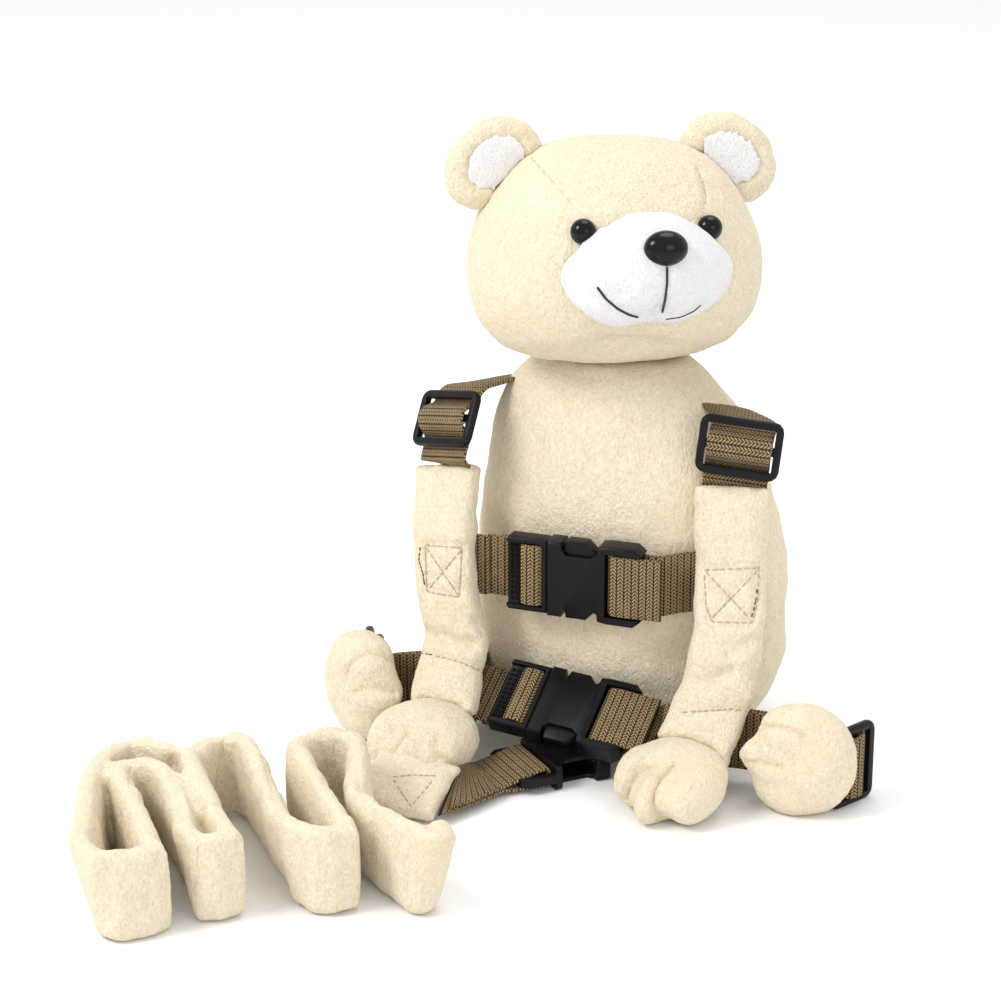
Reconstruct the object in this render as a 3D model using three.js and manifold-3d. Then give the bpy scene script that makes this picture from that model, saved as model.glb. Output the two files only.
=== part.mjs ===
// A toddler's harness backpack in the form of a plush bear, with its shoulder, chest and waist straps
// and a padded hand tether folded in a zig-zag in front of it.
// Millimetres, +Z up. The bear faces -Y, and its own left side is +X.
import * as THREE from "three";
import { mergeVertices } from "three/addons/utils/BufferGeometryUtils.js";
import Module from "manifold-3d";

const wasm = await Module();
wasm.setup();

// Driving sizes of the stuffed bear
const torsoWidth = 128;
const torsoDepth = 84;
const torsoHeight = 152;
const headWidth = 116;
const headDepth = 100;
const headHeight = 87;
const headTurn = 34;
const headTilt = 15;
const headRoll = 2;
const muzzleWidth = 68;
const muzzleHeight = 46;
const muzzleReach = 25;
const noseWidth = 16.5;
const noseHeight = 13;
const eyeDiameter = 9.5;
const earWidth = 42;
const earHeight = 34;
const earThickness = 15;
const earWall = 4.5;
const pawWidth = 43;
const pawLength = 45;
const pawThickness = 22;

// Driving sizes of the straps
const webWidth = 25;
const webThickness = 1.6;
const armWidth = 30;
const armThickness = 9;
const tetherWidth = 34;
const tetherThickness = 8;
const tetherFold = 80;
const flapLength = 34;
const flapWidth = 31;
const seamGap = 0.3;

// Driving sizes of the plastic fittings
const slotClearance = 0.6;
const railWidth = 2;
const sliderLength = 23;
const sliderThickness = 3.4;
const sliderBar = 3.2;
const buckleLadder = 16.8;
const buckleHousing = 38;
const buckleThickness = 9.6;
const buckleBar = 3.4;

// Places that the straps hang from and run through
const neckShift = -8;
const strapSpread = 57;
const strapStandoff = 4;
const armTopHeight = 110;
const chestHeight = 74;
const waistHeight = 18;
const waistStandoff = 18;
const waistBuckleLift = 5.3;
const footReach = 88;
const handReach = 86;

const deg = Math.PI / 180;
const vec = (x, y, z) => new THREE.Vector3(x, y, z);
const up = vec(0, 0, 1);

// Solids: a closed geometry becomes a solid that can be joined and cut, and goes back to a geometry
function toSolid(geometry) {
  const bare = geometry.index ? geometry.toNonIndexed() : geometry.clone();
  bare.deleteAttribute("normal");
  bare.deleteAttribute("uv");
  const merged = mergeVertices(bare, 1e-4);
  return new wasm.Manifold(
    new wasm.Mesh({
      numProp: 3,
      vertProperties: new Float32Array(merged.attributes.position.array),
      triVerts: new Uint32Array(merged.index.array),
    }),
  );
}

function toGeometry(solid) {
  const mesh = solid.getMesh();
  const position = new Float32Array(mesh.numVert * 3);
  for (let i = 0; i < mesh.numVert; i++) {
    position.set(mesh.vertProperties.subarray(i * mesh.numProp, i * mesh.numProp + 3), i * 3);
  }
  const geometry = new THREE.BufferGeometry();
  geometry.setAttribute("position", new THREE.BufferAttribute(position, 3));
  geometry.setIndex(new THREE.BufferAttribute(mesh.triVerts, 1));
  geometry.computeVertexNormals();
  return geometry;
}

function join(solids) {
  return solids.reduce((whole, solid) => whole.add(solid));
}

function cut(solid, ...others) {
  return others.reduce((rest, other) => rest.subtract(other), solid);
}

// The largest body of a cut solid, without the crumbs that a grazing cut can leave
function largest(solid) {
  return solid.decompose().reduce((best, body) => (body.volume() > best.volume() ? body : best));
}

// A closed skin over rings of equal count, with a fan over each end
function loft(rings) {
  const around = rings[0].length;
  const points = rings.flat();
  const middle = (ring) => ring.reduce((sum, p) => sum.add(p), vec(0, 0, 0)).divideScalar(around);
  const index = [];
  for (let r = 0; r + 1 < rings.length; r++) {
    for (let i = 0; i < around; i++) {
      const a = r * around + i;
      const b = r * around + ((i + 1) % around);
      index.push(a, b, a + around, b, b + around, a + around);
    }
  }
  const last = (rings.length - 1) * around;
  points.push(middle(rings[0]), middle(rings[rings.length - 1]));
  for (let i = 0; i < around; i++) {
    const next = (i + 1) % around;
    index.push(next, i, points.length - 2);
    index.push(last + i, last + next, points.length - 1);
  }
  let volume = 0;
  for (let i = 0; i < index.length; i += 3) {
    const [a, b, c] = [points[index[i]], points[index[i + 1]], points[index[i + 2]]];
    volume += a.dot(vec(0, 0, 0).crossVectors(b, c));
  }
  if (volume < 0) {
    index.reverse();
  }
  const geometry = new THREE.BufferGeometry().setFromPoints(points);
  geometry.setIndex(index);
  return toSolid(geometry);
}

// A point of a rounded oval: squareness 1 is an ellipse, and smaller values fill its corners
function oval(angle, squareness) {
  const c = Math.cos(angle);
  const s = Math.sin(angle);
  return [Math.sign(c) * Math.abs(c) ** squareness, Math.sign(s) * Math.abs(s) ** squareness];
}

function ellipsoid(centre, radii, matrix = new THREE.Matrix4(), around = 20, down = 12) {
  const geometry = new THREE.SphereGeometry(1, around, down);
  geometry.rotateX(Math.PI / 2);
  geometry.scale(radii.x, radii.y, radii.z);
  geometry.translate(centre.x, centre.y, centre.z);
  geometry.applyMatrix4(matrix);
  return toSolid(geometry);
}

function block(x0, x1, y0, y1, z0, z1, matrix = new THREE.Matrix4()) {
  const geometry = new THREE.BoxGeometry(x1 - x0, y1 - y0, z1 - z0);
  geometry.translate((x0 + x1) / 2, (y0 + y1) / 2, (z0 + z1) / 2);
  geometry.applyMatrix4(matrix);
  return toSolid(geometry);
}

// A flat outline [x, y] with thickness, centred on z = 0
function plate(outline, thickness, matrix = new THREE.Matrix4(), bevel = 0) {
  const shape = new THREE.Shape(outline.map(([x, y]) => new THREE.Vector2(x, y)));
  const geometry = new THREE.ExtrudeGeometry(shape, {
    depth: thickness - 2 * bevel,
    bevelEnabled: bevel > 0,
    bevelThickness: bevel,
    bevelSize: bevel,
    bevelOffset: -bevel,
    bevelSegments: 1,
  });
  geometry.translate(0, 0, bevel - thickness / 2);
  geometry.applyMatrix4(matrix);
  return toSolid(geometry);
}

// Straps: a station is a centre and the direction across the strap
const station = (centre, across = up) => ({ centre, across });

// Stations along a smooth curve through the given ones
function smooth(stations, perSpan) {
  const curve = new THREE.CatmullRomCurve3(stations.map((s) => s.centre), false, "centripetal");
  const spans = stations.length - 1;
  const path = [];
  for (let i = 0; i <= spans * perSpan; i++) {
    const span = Math.min(Math.floor(i / perSpan), spans - 1);
    const share = i / perSpan - span;
    const across = stations[span].across.clone().lerp(stations[span + 1].across, share);
    path.push(station(curve.getPoint(i / (spans * perSpan)), across.normalize()));
  }
  return path;
}

// Frames along a path: ahead, across and out of the strap's face, with the stretch that a mitre needs.
// A sheared strap keeps its ends' slant instead of turning square to the path
function frames(path, sheared) {
  return path.map((here, i) => {
    const before = path[Math.max(i - 1, 0)].centre;
    const after = path[Math.min(i + 1, path.length - 1)].centre;
    const into = (i > 0 ? here.centre : after).clone().sub(i > 0 ? before : here.centre).normalize();
    const away = (i + 1 < path.length ? after : here.centre).clone();
    away.sub(i + 1 < path.length ? here.centre : before).normalize();
    const ahead = into.clone().add(away).normalize();
    const out = vec(0, 0, 0).crossVectors(ahead, here.across).normalize();
    const across = sheared ? here.across : vec(0, 0, 0).crossVectors(out, ahead).normalize();
    return { centre: here.centre, ahead, across, out, mitre: Math.min(1 / ahead.dot(into), 1.42) };
  });
}

// Section of a strap as shares of its half width and half thickness: flat webbing or a padded tube
const webSection = [[-1, -1], [1, -1], [1, 1], [-1, 1]];
const padSection = [
  [-1, 0], [-0.97, -0.6], [-0.84, -0.93], [0, -1], [0.84, -0.93], [0.97, -0.6],
  [1, 0], [0.97, 0.6], [0.84, 0.93], [0, 1], [-0.84, 0.93], [-0.97, 0.6],
];

function strap(path, width, thickness, section, grow = 0, sheared = false) {
  const rings = frames(path, sheared).map(({ centre, ahead, across, out, mitre }, i) => {
    const end = i === 0 ? -grow : i === path.length - 1 ? grow : 0;
    return section.map(([w, t]) =>
      centre
        .clone()
        .addScaledVector(across, w * (width / 2 + grow))
        .addScaledVector(out, t * (thickness / 2 + grow) * mitre)
        .addScaledVector(ahead, end),
    );
  });
  return loft(rings);
}

const webbing = (path, grow = 0) => strap(path, webWidth, webThickness, webSection, grow);

// Torso: a stuffed pear with a flat seat. Shares of the torso's height, half width and half depth,
// and of the neck's sideways shift
const torsoSections = [
  { height: 0, width: 0.66, front: 0.72, back: 0.66, shift: 0 },
  { height: 0.03, width: 0.8, front: 0.86, back: 0.8, shift: 0 },
  { height: 0.1, width: 0.91, front: 0.96, back: 0.92, shift: 0 },
  { height: 0.21, width: 0.98, front: 1, back: 0.99, shift: 0 },
  { height: 0.36, width: 1, front: 0.99, back: 1, shift: 0.02 },
  { height: 0.49, width: 0.98, front: 0.93, back: 0.97, shift: 0.08 },
  { height: 0.62, width: 0.93, front: 0.9, back: 0.91, shift: 0.25 },
  { height: 0.75, width: 0.85, front: 0.83, back: 0.82, shift: 0.5 },
  { height: 0.85, width: 0.77, front: 0.75, back: 0.72, shift: 0.75 },
  { height: 0.93, width: 0.65, front: 0.66, back: 0.6, shift: 0.95 },
  { height: 1, width: 0.46, front: 0.52, back: 0.45, shift: 1 },
];
const torsoRound = 0.88;

function makeTorso(grow = 0) {
  const around = 24;
  const rings = torsoSections.map((row, r) => {
    const below = r === 0 ? grow : 0;
    return Array.from({ length: around }, (_, i) => {
      const [c, s] = oval((2 * Math.PI * i) / around, torsoRound);
      const depth = ((s < 0 ? row.front : row.back) * torsoDepth) / 2 + grow;
      return vec(
        c * ((row.width * torsoWidth) / 2 + grow) + row.shift * neckShift,
        s * depth,
        row.height * torsoHeight - below,
      );
    });
  });
  return loft(rings);
}

// The torso's half width and front depth at a height, for what is sewn on it
function torsoAt(z) {
  const share = THREE.MathUtils.clamp(z / torsoHeight, 0, 0.999);
  const r = torsoSections.findIndex((row) => row.height > share);
  const [low, high] = [torsoSections[r - 1], torsoSections[r]];
  const mix = (share - low.height) / (high.height - low.height);
  const value = (key) => low[key] + (high[key] - low[key]) * mix;
  return {
    side: (value("width") * torsoWidth) / 2,
    front: (value("front") * torsoDepth) / 2,
    middle: value("shift") * neckShift,
  };
}

// Head: its own frame has the face at -Y, turned and tilted on the neck
const headCentre = vec(neckShift, -5, torsoHeight + headHeight * 0.5);
const headMatrix = new THREE.Matrix4()
  .makeTranslation(headCentre.x, headCentre.y, headCentre.z)
  .multiply(new THREE.Matrix4().makeRotationZ(headTurn * deg))
  .multiply(new THREE.Matrix4().makeRotationY(headRoll * deg))
  .multiply(new THREE.Matrix4().makeRotationX(-headTilt * deg));
// Shares of the head's half height, half width, half front depth and half back depth
const headSections = [
  { height: -1, width: 0.24, front: 0.3, back: 0.3 },
  { height: -0.95, width: 0.52, front: 0.5, back: 0.5 },
  { height: -0.82, width: 0.79, front: 0.74, back: 0.72 },
  { height: -0.6, width: 0.94, front: 0.9, back: 0.88 },
  { height: -0.32, width: 1, front: 0.99, back: 0.97 },
  { height: 0, width: 0.99, front: 1, back: 1 },
  { height: 0.3, width: 0.92, front: 0.94, back: 0.97 },
  { height: 0.57, width: 0.81, front: 0.8, back: 0.87 },
  { height: 0.79, width: 0.65, front: 0.62, back: 0.7 },
  { height: 0.93, width: 0.44, front: 0.4, back: 0.46 },
  { height: 1, width: 0.2, front: 0.16, back: 0.2 },
];

function makeHead(grow = 0) {
  const around = 24;
  const rings = headSections.map((row, r) => {
    const pole = r === 0 ? -grow : r === headSections.length - 1 ? grow : 0;
    return Array.from({ length: around }, (_, i) => {
      const angle = (2 * Math.PI * i) / around;
      const depth = Math.sin(angle) < 0 ? row.front : row.back;
      return vec(
        Math.cos(angle) * ((row.width * headWidth) / 2 + grow),
        Math.sin(angle) * ((depth * headDepth) / 2 + grow),
        (row.height * headHeight) / 2 + pole,
      ).applyMatrix4(headMatrix);
    });
  });
  return loft(rings);
}

const muzzleDrop = -0.085 * headHeight;
const muzzleTaper = 0.3;
const muzzleFront = headDepth / 2 + muzzleReach * 0.62;

function makeMuzzle(grow = 0) {
  const geometry = new THREE.SphereGeometry(1, 24, 12);
  geometry.rotateX(Math.PI / 2);
  const place = geometry.attributes.position;
  for (let i = 0; i < place.count; i++) {
    place.setX(i, place.getX(i) * (1 - muzzleTaper * Math.max(0, place.getZ(i))));
  }
  geometry.scale(muzzleWidth / 2 + grow, muzzleReach + grow, muzzleHeight / 2 + grow);
  geometry.translate(0, muzzleReach - muzzleFront, muzzleDrop);
  geometry.applyMatrix4(headMatrix);
  return toSolid(geometry);
}

const noseCentre = vec(1.2, -(muzzleFront - noseHeight * 0.14), muzzleDrop + muzzleHeight * 0.15);

function makeNose() {
  const radii = vec(noseWidth / 2, noseHeight * 0.42, noseHeight / 2);
  return ellipsoid(noseCentre, radii, headMatrix, 14, 8);
}

const eyeSpread = headWidth * 0.212;
const eyeRise = headHeight * 0.075;

function makeEye(side) {
  const depth = (headDepth / 2) * Math.sqrt(1 - (eyeSpread / (headWidth / 2)) ** 2) * 0.965;
  const radii = vec(eyeDiameter / 2, eyeDiameter / 2, eyeDiameter / 2);
  return ellipsoid(vec(side * eyeSpread, -depth, eyeRise), radii, headMatrix, 12, 8);
}

// Ears: a padded cup on the head's upper corner, with a flat patch in its hollow
const earSpread = headWidth * 0.405;
const earRise = headHeight * 0.385;

function earMatrix(side) {
  return headMatrix
    .clone()
    .multiply(new THREE.Matrix4().makeTranslation(side * earSpread, 0, earRise))
    .multiply(new THREE.Matrix4().makeRotationY(side * 32 * deg))
    .multiply(new THREE.Matrix4().makeRotationX(6 * deg));
}

function earHollow(side, grow = 0) {
  const centre = vec(0, -earThickness * 0.62, earWall * 0.2);
  const radii = vec(earWidth / 2 - earWall, earThickness * 0.52, earHeight / 2 - earWall).addScalar(grow);
  return ellipsoid(centre, radii, earMatrix(side), 16, 8);
}

function makeEar(side) {
  const radii = vec(earWidth / 2, earThickness / 2, earHeight / 2);
  return cut(ellipsoid(vec(0, 0, 0), radii, earMatrix(side), 20, 10), earHollow(side));
}

function makeInnerEar(side) {
  const slab = block(
    -earWidth / 2, earWidth / 2,
    -earThickness * 0.36, 0,
    -earHeight / 2, earHeight / 2,
    earMatrix(side),
  );
  return earHollow(side, -seamGap).intersect(slab);
}

// Paws: a stuffed palm and three fingers. The tips point to -Y, and z is the thickness
const fingers = [
  { place: -0.3, tip: 0.86, turn: 10 },
  { place: 0, tip: 1, turn: 0 },
  { place: 0.3, tip: 0.88, turn: -10 },
];

function makePaw(matrix, grow = 0) {
  const radii = vec(pawWidth * 0.49, pawLength * 0.36, pawThickness / 2).addScalar(grow);
  const palm = ellipsoid(vec(0, pawLength * 0.14, 0), radii, matrix, 16, 8);
  const lobes = fingers.map(({ place, tip, turn }) => {
    const reach = vec(pawWidth * 0.205, pawLength * 0.34, pawThickness * 0.47).addScalar(grow);
    const spot = new THREE.Matrix4()
      .makeTranslation(pawWidth * place, -(pawLength * (tip - 0.34) - pawLength / 2), 0)
      .multiply(new THREE.Matrix4().makeRotationZ(turn * deg));
    return ellipsoid(vec(0, 0, 0), reach, matrix.clone().multiply(spot), 10, 6);
  });
  return join([palm, ...lobes]);
}

const floor = () => block(-400, 400, -500, 400, -100, 0);

// A hand lies palm down on the floor: share of the strap's spread, added reach and turn
const handRows = {
  left: { spread: 0.76, reach: 2, turn: -14 },
  right: { spread: 1.02, reach: 0, turn: -10 },
};
const handTip = 16;

function handMatrix(name, side) {
  const { spread, reach, turn } = handRows[name];
  return new THREE.Matrix4()
    .makeTranslation(side * strapSpread * spread, -handReach - reach, pawThickness * 0.56)
    .multiply(new THREE.Matrix4().makeRotationZ(turn * deg))
    .multiply(new THREE.Matrix4().makeRotationX(handTip * deg));
}

// A foot stands on its edge in front of the waist strap, with its toes towards the middle
const footRows = {
  left: { spread: 1, front: 69, turn: 6 },
  right: { spread: 1.05, front: 60, turn: -38 },
};

function footMatrix(name, side) {
  const { spread, front, turn } = footRows[name];
  return new THREE.Matrix4()
    .makeTranslation(side * footReach * spread, -front, pawWidth * 0.49)
    .multiply(new THREE.Matrix4().makeRotationZ(turn * deg))
    .multiply(new THREE.Matrix4().makeRotationZ(-side * 90 * deg))
    .multiply(new THREE.Matrix4().makeRotationY(90 * deg));
}

// Fittings: slot sizes follow the webbing. Local x runs across the strap and y along it
const slotHalf = webWidth / 2 + slotClearance;
const fittingHalf = slotHalf + railWidth;
const sliderLift = (sliderThickness + webThickness) / 2 + seamGap;
const slotFrom = sliderBar / 2;
const slotTo = sliderLength / 2 - sliderBar;

function roundedOutline(halfX, halfY, radius) {
  const corners = [[1, 1, 0], [-1, 1, 90], [-1, -1, 180], [1, -1, 270]];
  return corners.flatMap(([sx, sy, from]) =>
    [0, 30, 60, 90].map((turn) => [
      sx * (halfX - radius) + radius * Math.cos((from + turn) * deg),
      sy * (halfY - radius) + radius * Math.sin((from + turn) * deg),
    ]),
  );
}

function makeSlider(frame) {
  const body = plate(roundedOutline(fittingHalf + 1, sliderLength / 2, 4), sliderThickness, frame, 0.8);
  const slots = [-1, 1].map((side) => {
    const [from, to] = side > 0 ? [slotFrom, slotTo] : [-slotTo, -slotFrom];
    return block(-slotHalf, slotHalf, from, to, -sliderThickness, sliderThickness, frame);
  });
  return cut(body, ...slots);
}

function sliderSpace(frame) {
  const half = fittingHalf + 1 + seamGap;
  const deep = sliderLength / 2 + seamGap;
  const high = sliderThickness / 2 + seamGap;
  return block(-half, half, -deep, deep, -high, high, frame);
}

// A fitting's frame: x across the strap, against the given direction, y along it, z out of its face
function fittingFrame(centre, across, along) {
  const out = vec(0, 0, 0).crossVectors(along, across).normalize();
  const ahead = vec(0, 0, 0).crossVectors(across, out).normalize();
  return new THREE.Matrix4().makeBasis(across.clone().negate().normalize(), ahead, out).setPosition(centre);
}

// Stations given as [along, out] in a fitting's frame
function threaded(frame, steps) {
  const across = vec(-1, 0, 0).transformDirection(frame);
  return steps.map(([along, out]) => station(vec(0, along, out).applyMatrix4(frame), across));
}

const weaveIn = slotTo - 0.9;
const weaveOut = slotFrom + 0.9;
const sliderWeave = [
  [-sliderLength * 0.66, -sliderLift - 3.6],
  [-sliderLength * 0.5, -sliderLift - 0.8],
  [-weaveIn, -sliderLift],
  [-weaveOut, sliderLift],
  [weaveOut, sliderLift],
  [weaveIn, -sliderLift],
  [sliderLength * 0.56, -sliderLift - 0.3],
  [sliderLength * 0.68, -sliderLift - 0.6],
];

// Side-release buckle: x runs along the strap from the ladder's end, y across, z out of its face
const ladderBar = 5;
const ladderSlot = webThickness + 1.7;
const ladderInner = ladderBar + ladderSlot;
const ladderWindow = ladderInner + buckleBar + ladderSlot;
const housingStart = buckleLadder + seamGap;
const buckleLength = housingStart + buckleHousing;
const housingSlot = housingStart + buckleHousing * 0.62;
const housingBar = housingSlot + webThickness + 2.4;
const cavityEnd = housingStart + buckleHousing * 0.54;
const cavityHalf = 3.1;
const tabStart = housingStart + 6.6;
const tabEnd = cavityEnd - 0.6;

function makeLadder(frame) {
  const rim = plate(
    [
      [0, 1 - fittingHalf], [1, -fittingHalf], [buckleLadder, -fittingHalf],
      [buckleLadder, fittingHalf], [1, fittingHalf], [0, fittingHalf - 1],
    ],
    buckleThickness * 0.8,
    frame,
    0.6,
  );
  const window = block(-1, ladderWindow, -slotHalf, slotHalf, -buckleThickness, buckleThickness, frame);
  const outerBar = block(0.2, ladderBar, -slotHalf - 1, slotHalf + 1, -buckleBar / 2, buckleBar / 2, frame);
  const innerBar = block(
    ladderInner, ladderInner + buckleBar,
    -slotHalf - 1, slotHalf + 1,
    -buckleBar / 2, buckleBar / 2,
    frame,
  );
  const arms = [-1, 1].map((side) =>
    plate(
      [
        [buckleLadder - 1, side * 7], [tabEnd - 7, side * 8], [tabEnd, side * 9],
        [tabEnd, side * 11.5], [tabEnd - 4.5, side * (fittingHalf + 0.9)],
        [tabStart + 0.8, side * (fittingHalf + 0.9)], [tabStart, side * 12.2],
        [buckleLadder - 1, side * 11.2],
      ],
      2 * cavityHalf - 2 * seamGap,
      frame,
    ),
  );
  const tongue = block(buckleLadder - 1, tabEnd - 5, -2.4, 2.4, -2, 2, frame);
  return join([cut(rim, window), outerBar, innerBar, ...arms, tongue]);
}

function makeHousing(frame, openSides) {
  const lug = housingSlot - 1.5;
  const outline = [
    [housingStart, -fittingHalf - 0.4], [lug - 1.5, -fittingHalf - 0.4], [lug + 2, -fittingHalf - 1],
    [buckleLength - 3, -fittingHalf - 1], [buckleLength, -fittingHalf + 1.5],
    [buckleLength, fittingHalf - 1.5], [buckleLength - 3, fittingHalf + 1],
    [lug + 2, fittingHalf + 1], [lug - 1.5, fittingHalf + 0.4], [housingStart, fittingHalf + 0.4],
  ];
  const body = plate(outline, buckleThickness, frame, 0.8);
  const cavity = block(housingStart - 1, cavityEnd, -12.8, 12.8, -cavityHalf, cavityHalf, frame);
  const windows = [-1, 1].map((side) =>
    plate(
      [
        [tabStart - 2, side * 30], [tabStart - 0.6, side * 12.4], [tabStart + 1.2, side * 10.4],
        [tabEnd - 2.4, side * 10.4], [tabEnd + 0.6, side * 12.4], [tabEnd + 2.6, side * 30],
      ],
      2 * buckleThickness,
      frame,
    ),
  );
  const deep = buckleThickness;
  const slot = block(housingSlot, housingBar, -slotHalf, slotHalf, -deep, deep, frame);
  const bed = [-1, 1].map((side) => {
    const [from, to] = side > 0 ? [buckleBar / 2, buckleThickness] : [-buckleThickness, -buckleBar / 2];
    return block(housingBar - 0.5, buckleLength + 1, -slotHalf, slotHalf, from, to, frame);
  });
  const shaved = [-1, 1].map((side) => {
    const [from, to] = side > 0 ? [buckleBar / 2, buckleThickness] : [-buckleThickness, -buckleBar / 2];
    return block(housingSlot, buckleLength + 1, -webWidth, webWidth, from, to, frame);
  });
  return cut(body, cavity, ...windows, slot, ...bed, ...(openSides ? shaved : []));
}

// A buckle's frame: x along the strap, z out of its face, origin at the ladder's end
function buckleFrame(centre, along, across) {
  const out = vec(0, 0, 0).crossVectors(along, across).normalize();
  const side = vec(0, 0, 0).crossVectors(out, along).normalize();
  const origin = centre.clone().addScaledVector(along, -buckleLength / 2);
  return new THREE.Matrix4().makeBasis(along.clone().normalize(), side, out).setPosition(origin);
}

function alongBuckle(frame, steps) {
  const across = vec(0, 1, 0).transformDirection(frame);
  return steps.map(([along, out]) => station(vec(along, 0, out).applyMatrix4(frame), across));
}

const barLift = (buckleBar + webThickness) / 2 + seamGap;
const layer = webThickness + seamGap;

// Webbing behind the knurled bar, round the inner bar and back behind itself as a short tail
const ladderThread = [
  [-9, -barLift],
  [-3, -barLift],
  [ladderBar + ladderSlot / 2, -barLift],
  [ladderBar + ladderSlot / 2, barLift],
  [ladderWindow - ladderSlot / 2, barLift],
  [ladderWindow - ladderSlot / 2, -barLift - layer],
  [-4, -barLift - layer],
];
// Webbing round the housing's end bar, with its sewn end on top
const housingThread = [
  [buckleLength + 8, barLift],
  [(housingSlot + housingBar) / 2, barLift],
  [(housingSlot + housingBar) / 2, -barLift],
  [buckleLength + 6, -barLift],
];

// Arms: the padded shoulder straps, from the shoulder slider down to the paw. Shares of the arm's height
// and of the strap's spread, with the distance in front of the torso's middle
const armRows = {
  left: [
    { height: 1.02, spread: 0.87, front: 29, turn: 12 },
    { height: 0.76, spread: 0.89, front: 36, turn: 12 },
    { height: 0.56, spread: 0.93, front: 45, turn: 14 },
    { height: 0.42, spread: 0.93, front: 51, turn: 14 },
    { height: 0.3, spread: 0.89, front: 58, turn: 12 },
    { height: 0.2, spread: 0.85, front: 68, turn: 8 },
    { height: 0.13, spread: 0.82, front: 78, turn: 4 },
  ],
  right: [
    { height: 1, spread: 1.15, front: 36, turn: 16 },
    { height: 0.76, spread: 1.1, front: 46, turn: 18 },
    { height: 0.56, spread: 1.06, front: 50, turn: 18 },
    { height: 0.41, spread: 0.98, front: 54, turn: 16 },
    { height: 0.28, spread: 0.98, front: 61, turn: 12 },
    { height: 0.19, spread: 0.98, front: 70, turn: 8 },
    { height: 0.13, spread: 0.99, front: 79, turn: 4 },
  ],
};
const sides = [
  { name: "left", side: 1 },
  { name: "right", side: -1 },
];

function armPath(name, side) {
  const rows = armRows[name].map(({ height, spread, front, turn }) =>
    station(
      vec(side * strapSpread * spread, -front, height * armTopHeight),
      vec(Math.cos(turn * deg), side * Math.sin(turn * deg), 0),
    ),
  );
  return smooth(rows, 3);
}

function makeArm(name, side, grow = 0) {
  return strap(armPath(name, side), armWidth, armThickness, padSection, grow);
}

// Shoulder webbing: out of the torso's shoulder, woven through the slider and down to the arm
const shoulderRows = {
  left: { exit: 0.87, depth: 8, inset: 12, lean: 10, turn: 12, lift: 0.7, aside: 1.5, roll: 6 },
  right: { exit: 0.895, depth: 10, inset: 4, lean: 30, turn: 32, lift: 0.82, aside: -0.5, roll: -14 },
};

function shoulder(name, side) {
  const row = shoulderRows[name];
  const top = armPath(name, side)[0];
  const exitHeight = torsoHeight * row.exit;
  const body = torsoAt(exitHeight);
  const exit = vec(body.middle + side * (body.side - row.inset), row.depth, exitHeight);
  const level = vec(Math.cos(row.turn * deg), side * Math.sin(row.turn * deg), 0);
  const back = vec(-level.y, level.x, 0);
  const steep = vec(0, 0, -Math.cos(row.lean * deg)).addScaledVector(back, -Math.sin(row.lean * deg));
  const across = level.clone().addScaledVector(steep, Math.tan(row.roll * deg)).normalize();
  const ahead = steep.clone().addScaledVector(level, -Math.tan(row.roll * deg)).normalize();
  const slide = top.centre.clone().addScaledVector(up, sliderLength * row.lift);
  slide.addScaledVector(level, row.aside);
  const frame = fittingFrame(slide, across, ahead);
  const woven = threaded(frame, sliderWeave);
  const start = woven[0];
  const crest = start.centre.clone().lerp(exit, 0.45);
  const inward = exit.clone().sub(start.centre).setZ(0).normalize();
  const wide = vec(inward.y, -inward.x, -side * 0.35).normalize();
  const turning = wide.clone().lerp(across, 0.4).normalize();
  const over = smooth([station(exit, wide), station(crest, turning), start], 3);
  const end = station(top.centre.clone().addScaledVector(up, seamGap), top.across);
  return { frame, path: [...over.slice(0, -1), ...woven, end] };
}

// Chest strap: a buckle in front of the belly and webbing to the back of each arm
const chestFront = torsoAt(chestHeight).front + strapStandoff + buckleThickness / 2;
const chestFrame = buckleFrame(vec(neckShift, -chestFront, chestHeight), vec(1, 0, 0), vec(0, 0, 1));

// The station behind an arm's padding at a height
function behindArm(name, side, height, shift) {
  const path = armPath(name, side);
  const near = path.reduce((best, s) =>
    Math.abs(s.centre.z - height) < Math.abs(best.centre.z - height) ? s : best,
  );
  const back = armThickness / 2 + webThickness / 2 + 2 * seamGap;
  const out = vec(0, 0, 0).crossVectors(near.across, up).normalize();
  const centre = near.centre.clone().addScaledVector(out, -back).addScaledVector(near.across, shift);
  centre.z = height;
  return station(centre, up.clone());
}

function chestWebbing(name, side) {
  const outer = behindArm(name, side, chestHeight, side * armWidth * 0.46);
  const inner = behindArm(name, side, chestHeight, -side * armWidth * 0.5);
  if (side > 0) {
    const thread = alongBuckle(chestFrame, housingThread);
    return [...thread.slice(0, -1), ...smooth([thread[thread.length - 1], inner, outer], 3)];
  }
  const thread = alongBuckle(chestFrame, ladderThread);
  return [...smooth([outer, inner, thread[0]], 3), ...thread.slice(1)];
}

// Waist strap: its buckle leans back, and its webbing runs out behind the paws to the foot sliders,
// folds round their outer bars and comes back to the torso
const waistShift = -7.5;
const waistCentre = vec(waistShift, -(torsoDepth / 2 + waistStandoff), waistHeight + waistBuckleLift);
const waistAlong = vec(0.98, -0.04, -0.08).normalize();
const waistAcross = vec(0.2, 0.83, 0.52).normalize();
const waistFrame = buckleFrame(waistCentre, waistAlong, waistAcross);
const footSlide = {
  left: { x: footReach + 18, y: -56, turn: 62 },
  right: { x: -(footReach + 12), y: -34, turn: 62 },
};
// Between buckle and slider: [share of the way in x, distance in front of the torso's middle]
const waistRows = {
  left: [
    { share: 0.16, front: 58 },
    { share: 0.4, front: 53 },
    { share: 0.66, front: 54 },
  ],
  right: [
    { share: 0.12, front: 49 },
    { share: 0.36, front: 43.5 },
    { share: 0.6, front: 42 },
  ],
};

function footFrame(name, side) {
  const { x, y, turn } = footSlide[name];
  const along = vec(side * Math.cos(turn * deg), Math.sin(turn * deg), 0);
  return fittingFrame(vec(x, y, fittingHalf + 1), vec(0, 0, side), along);
}

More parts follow.
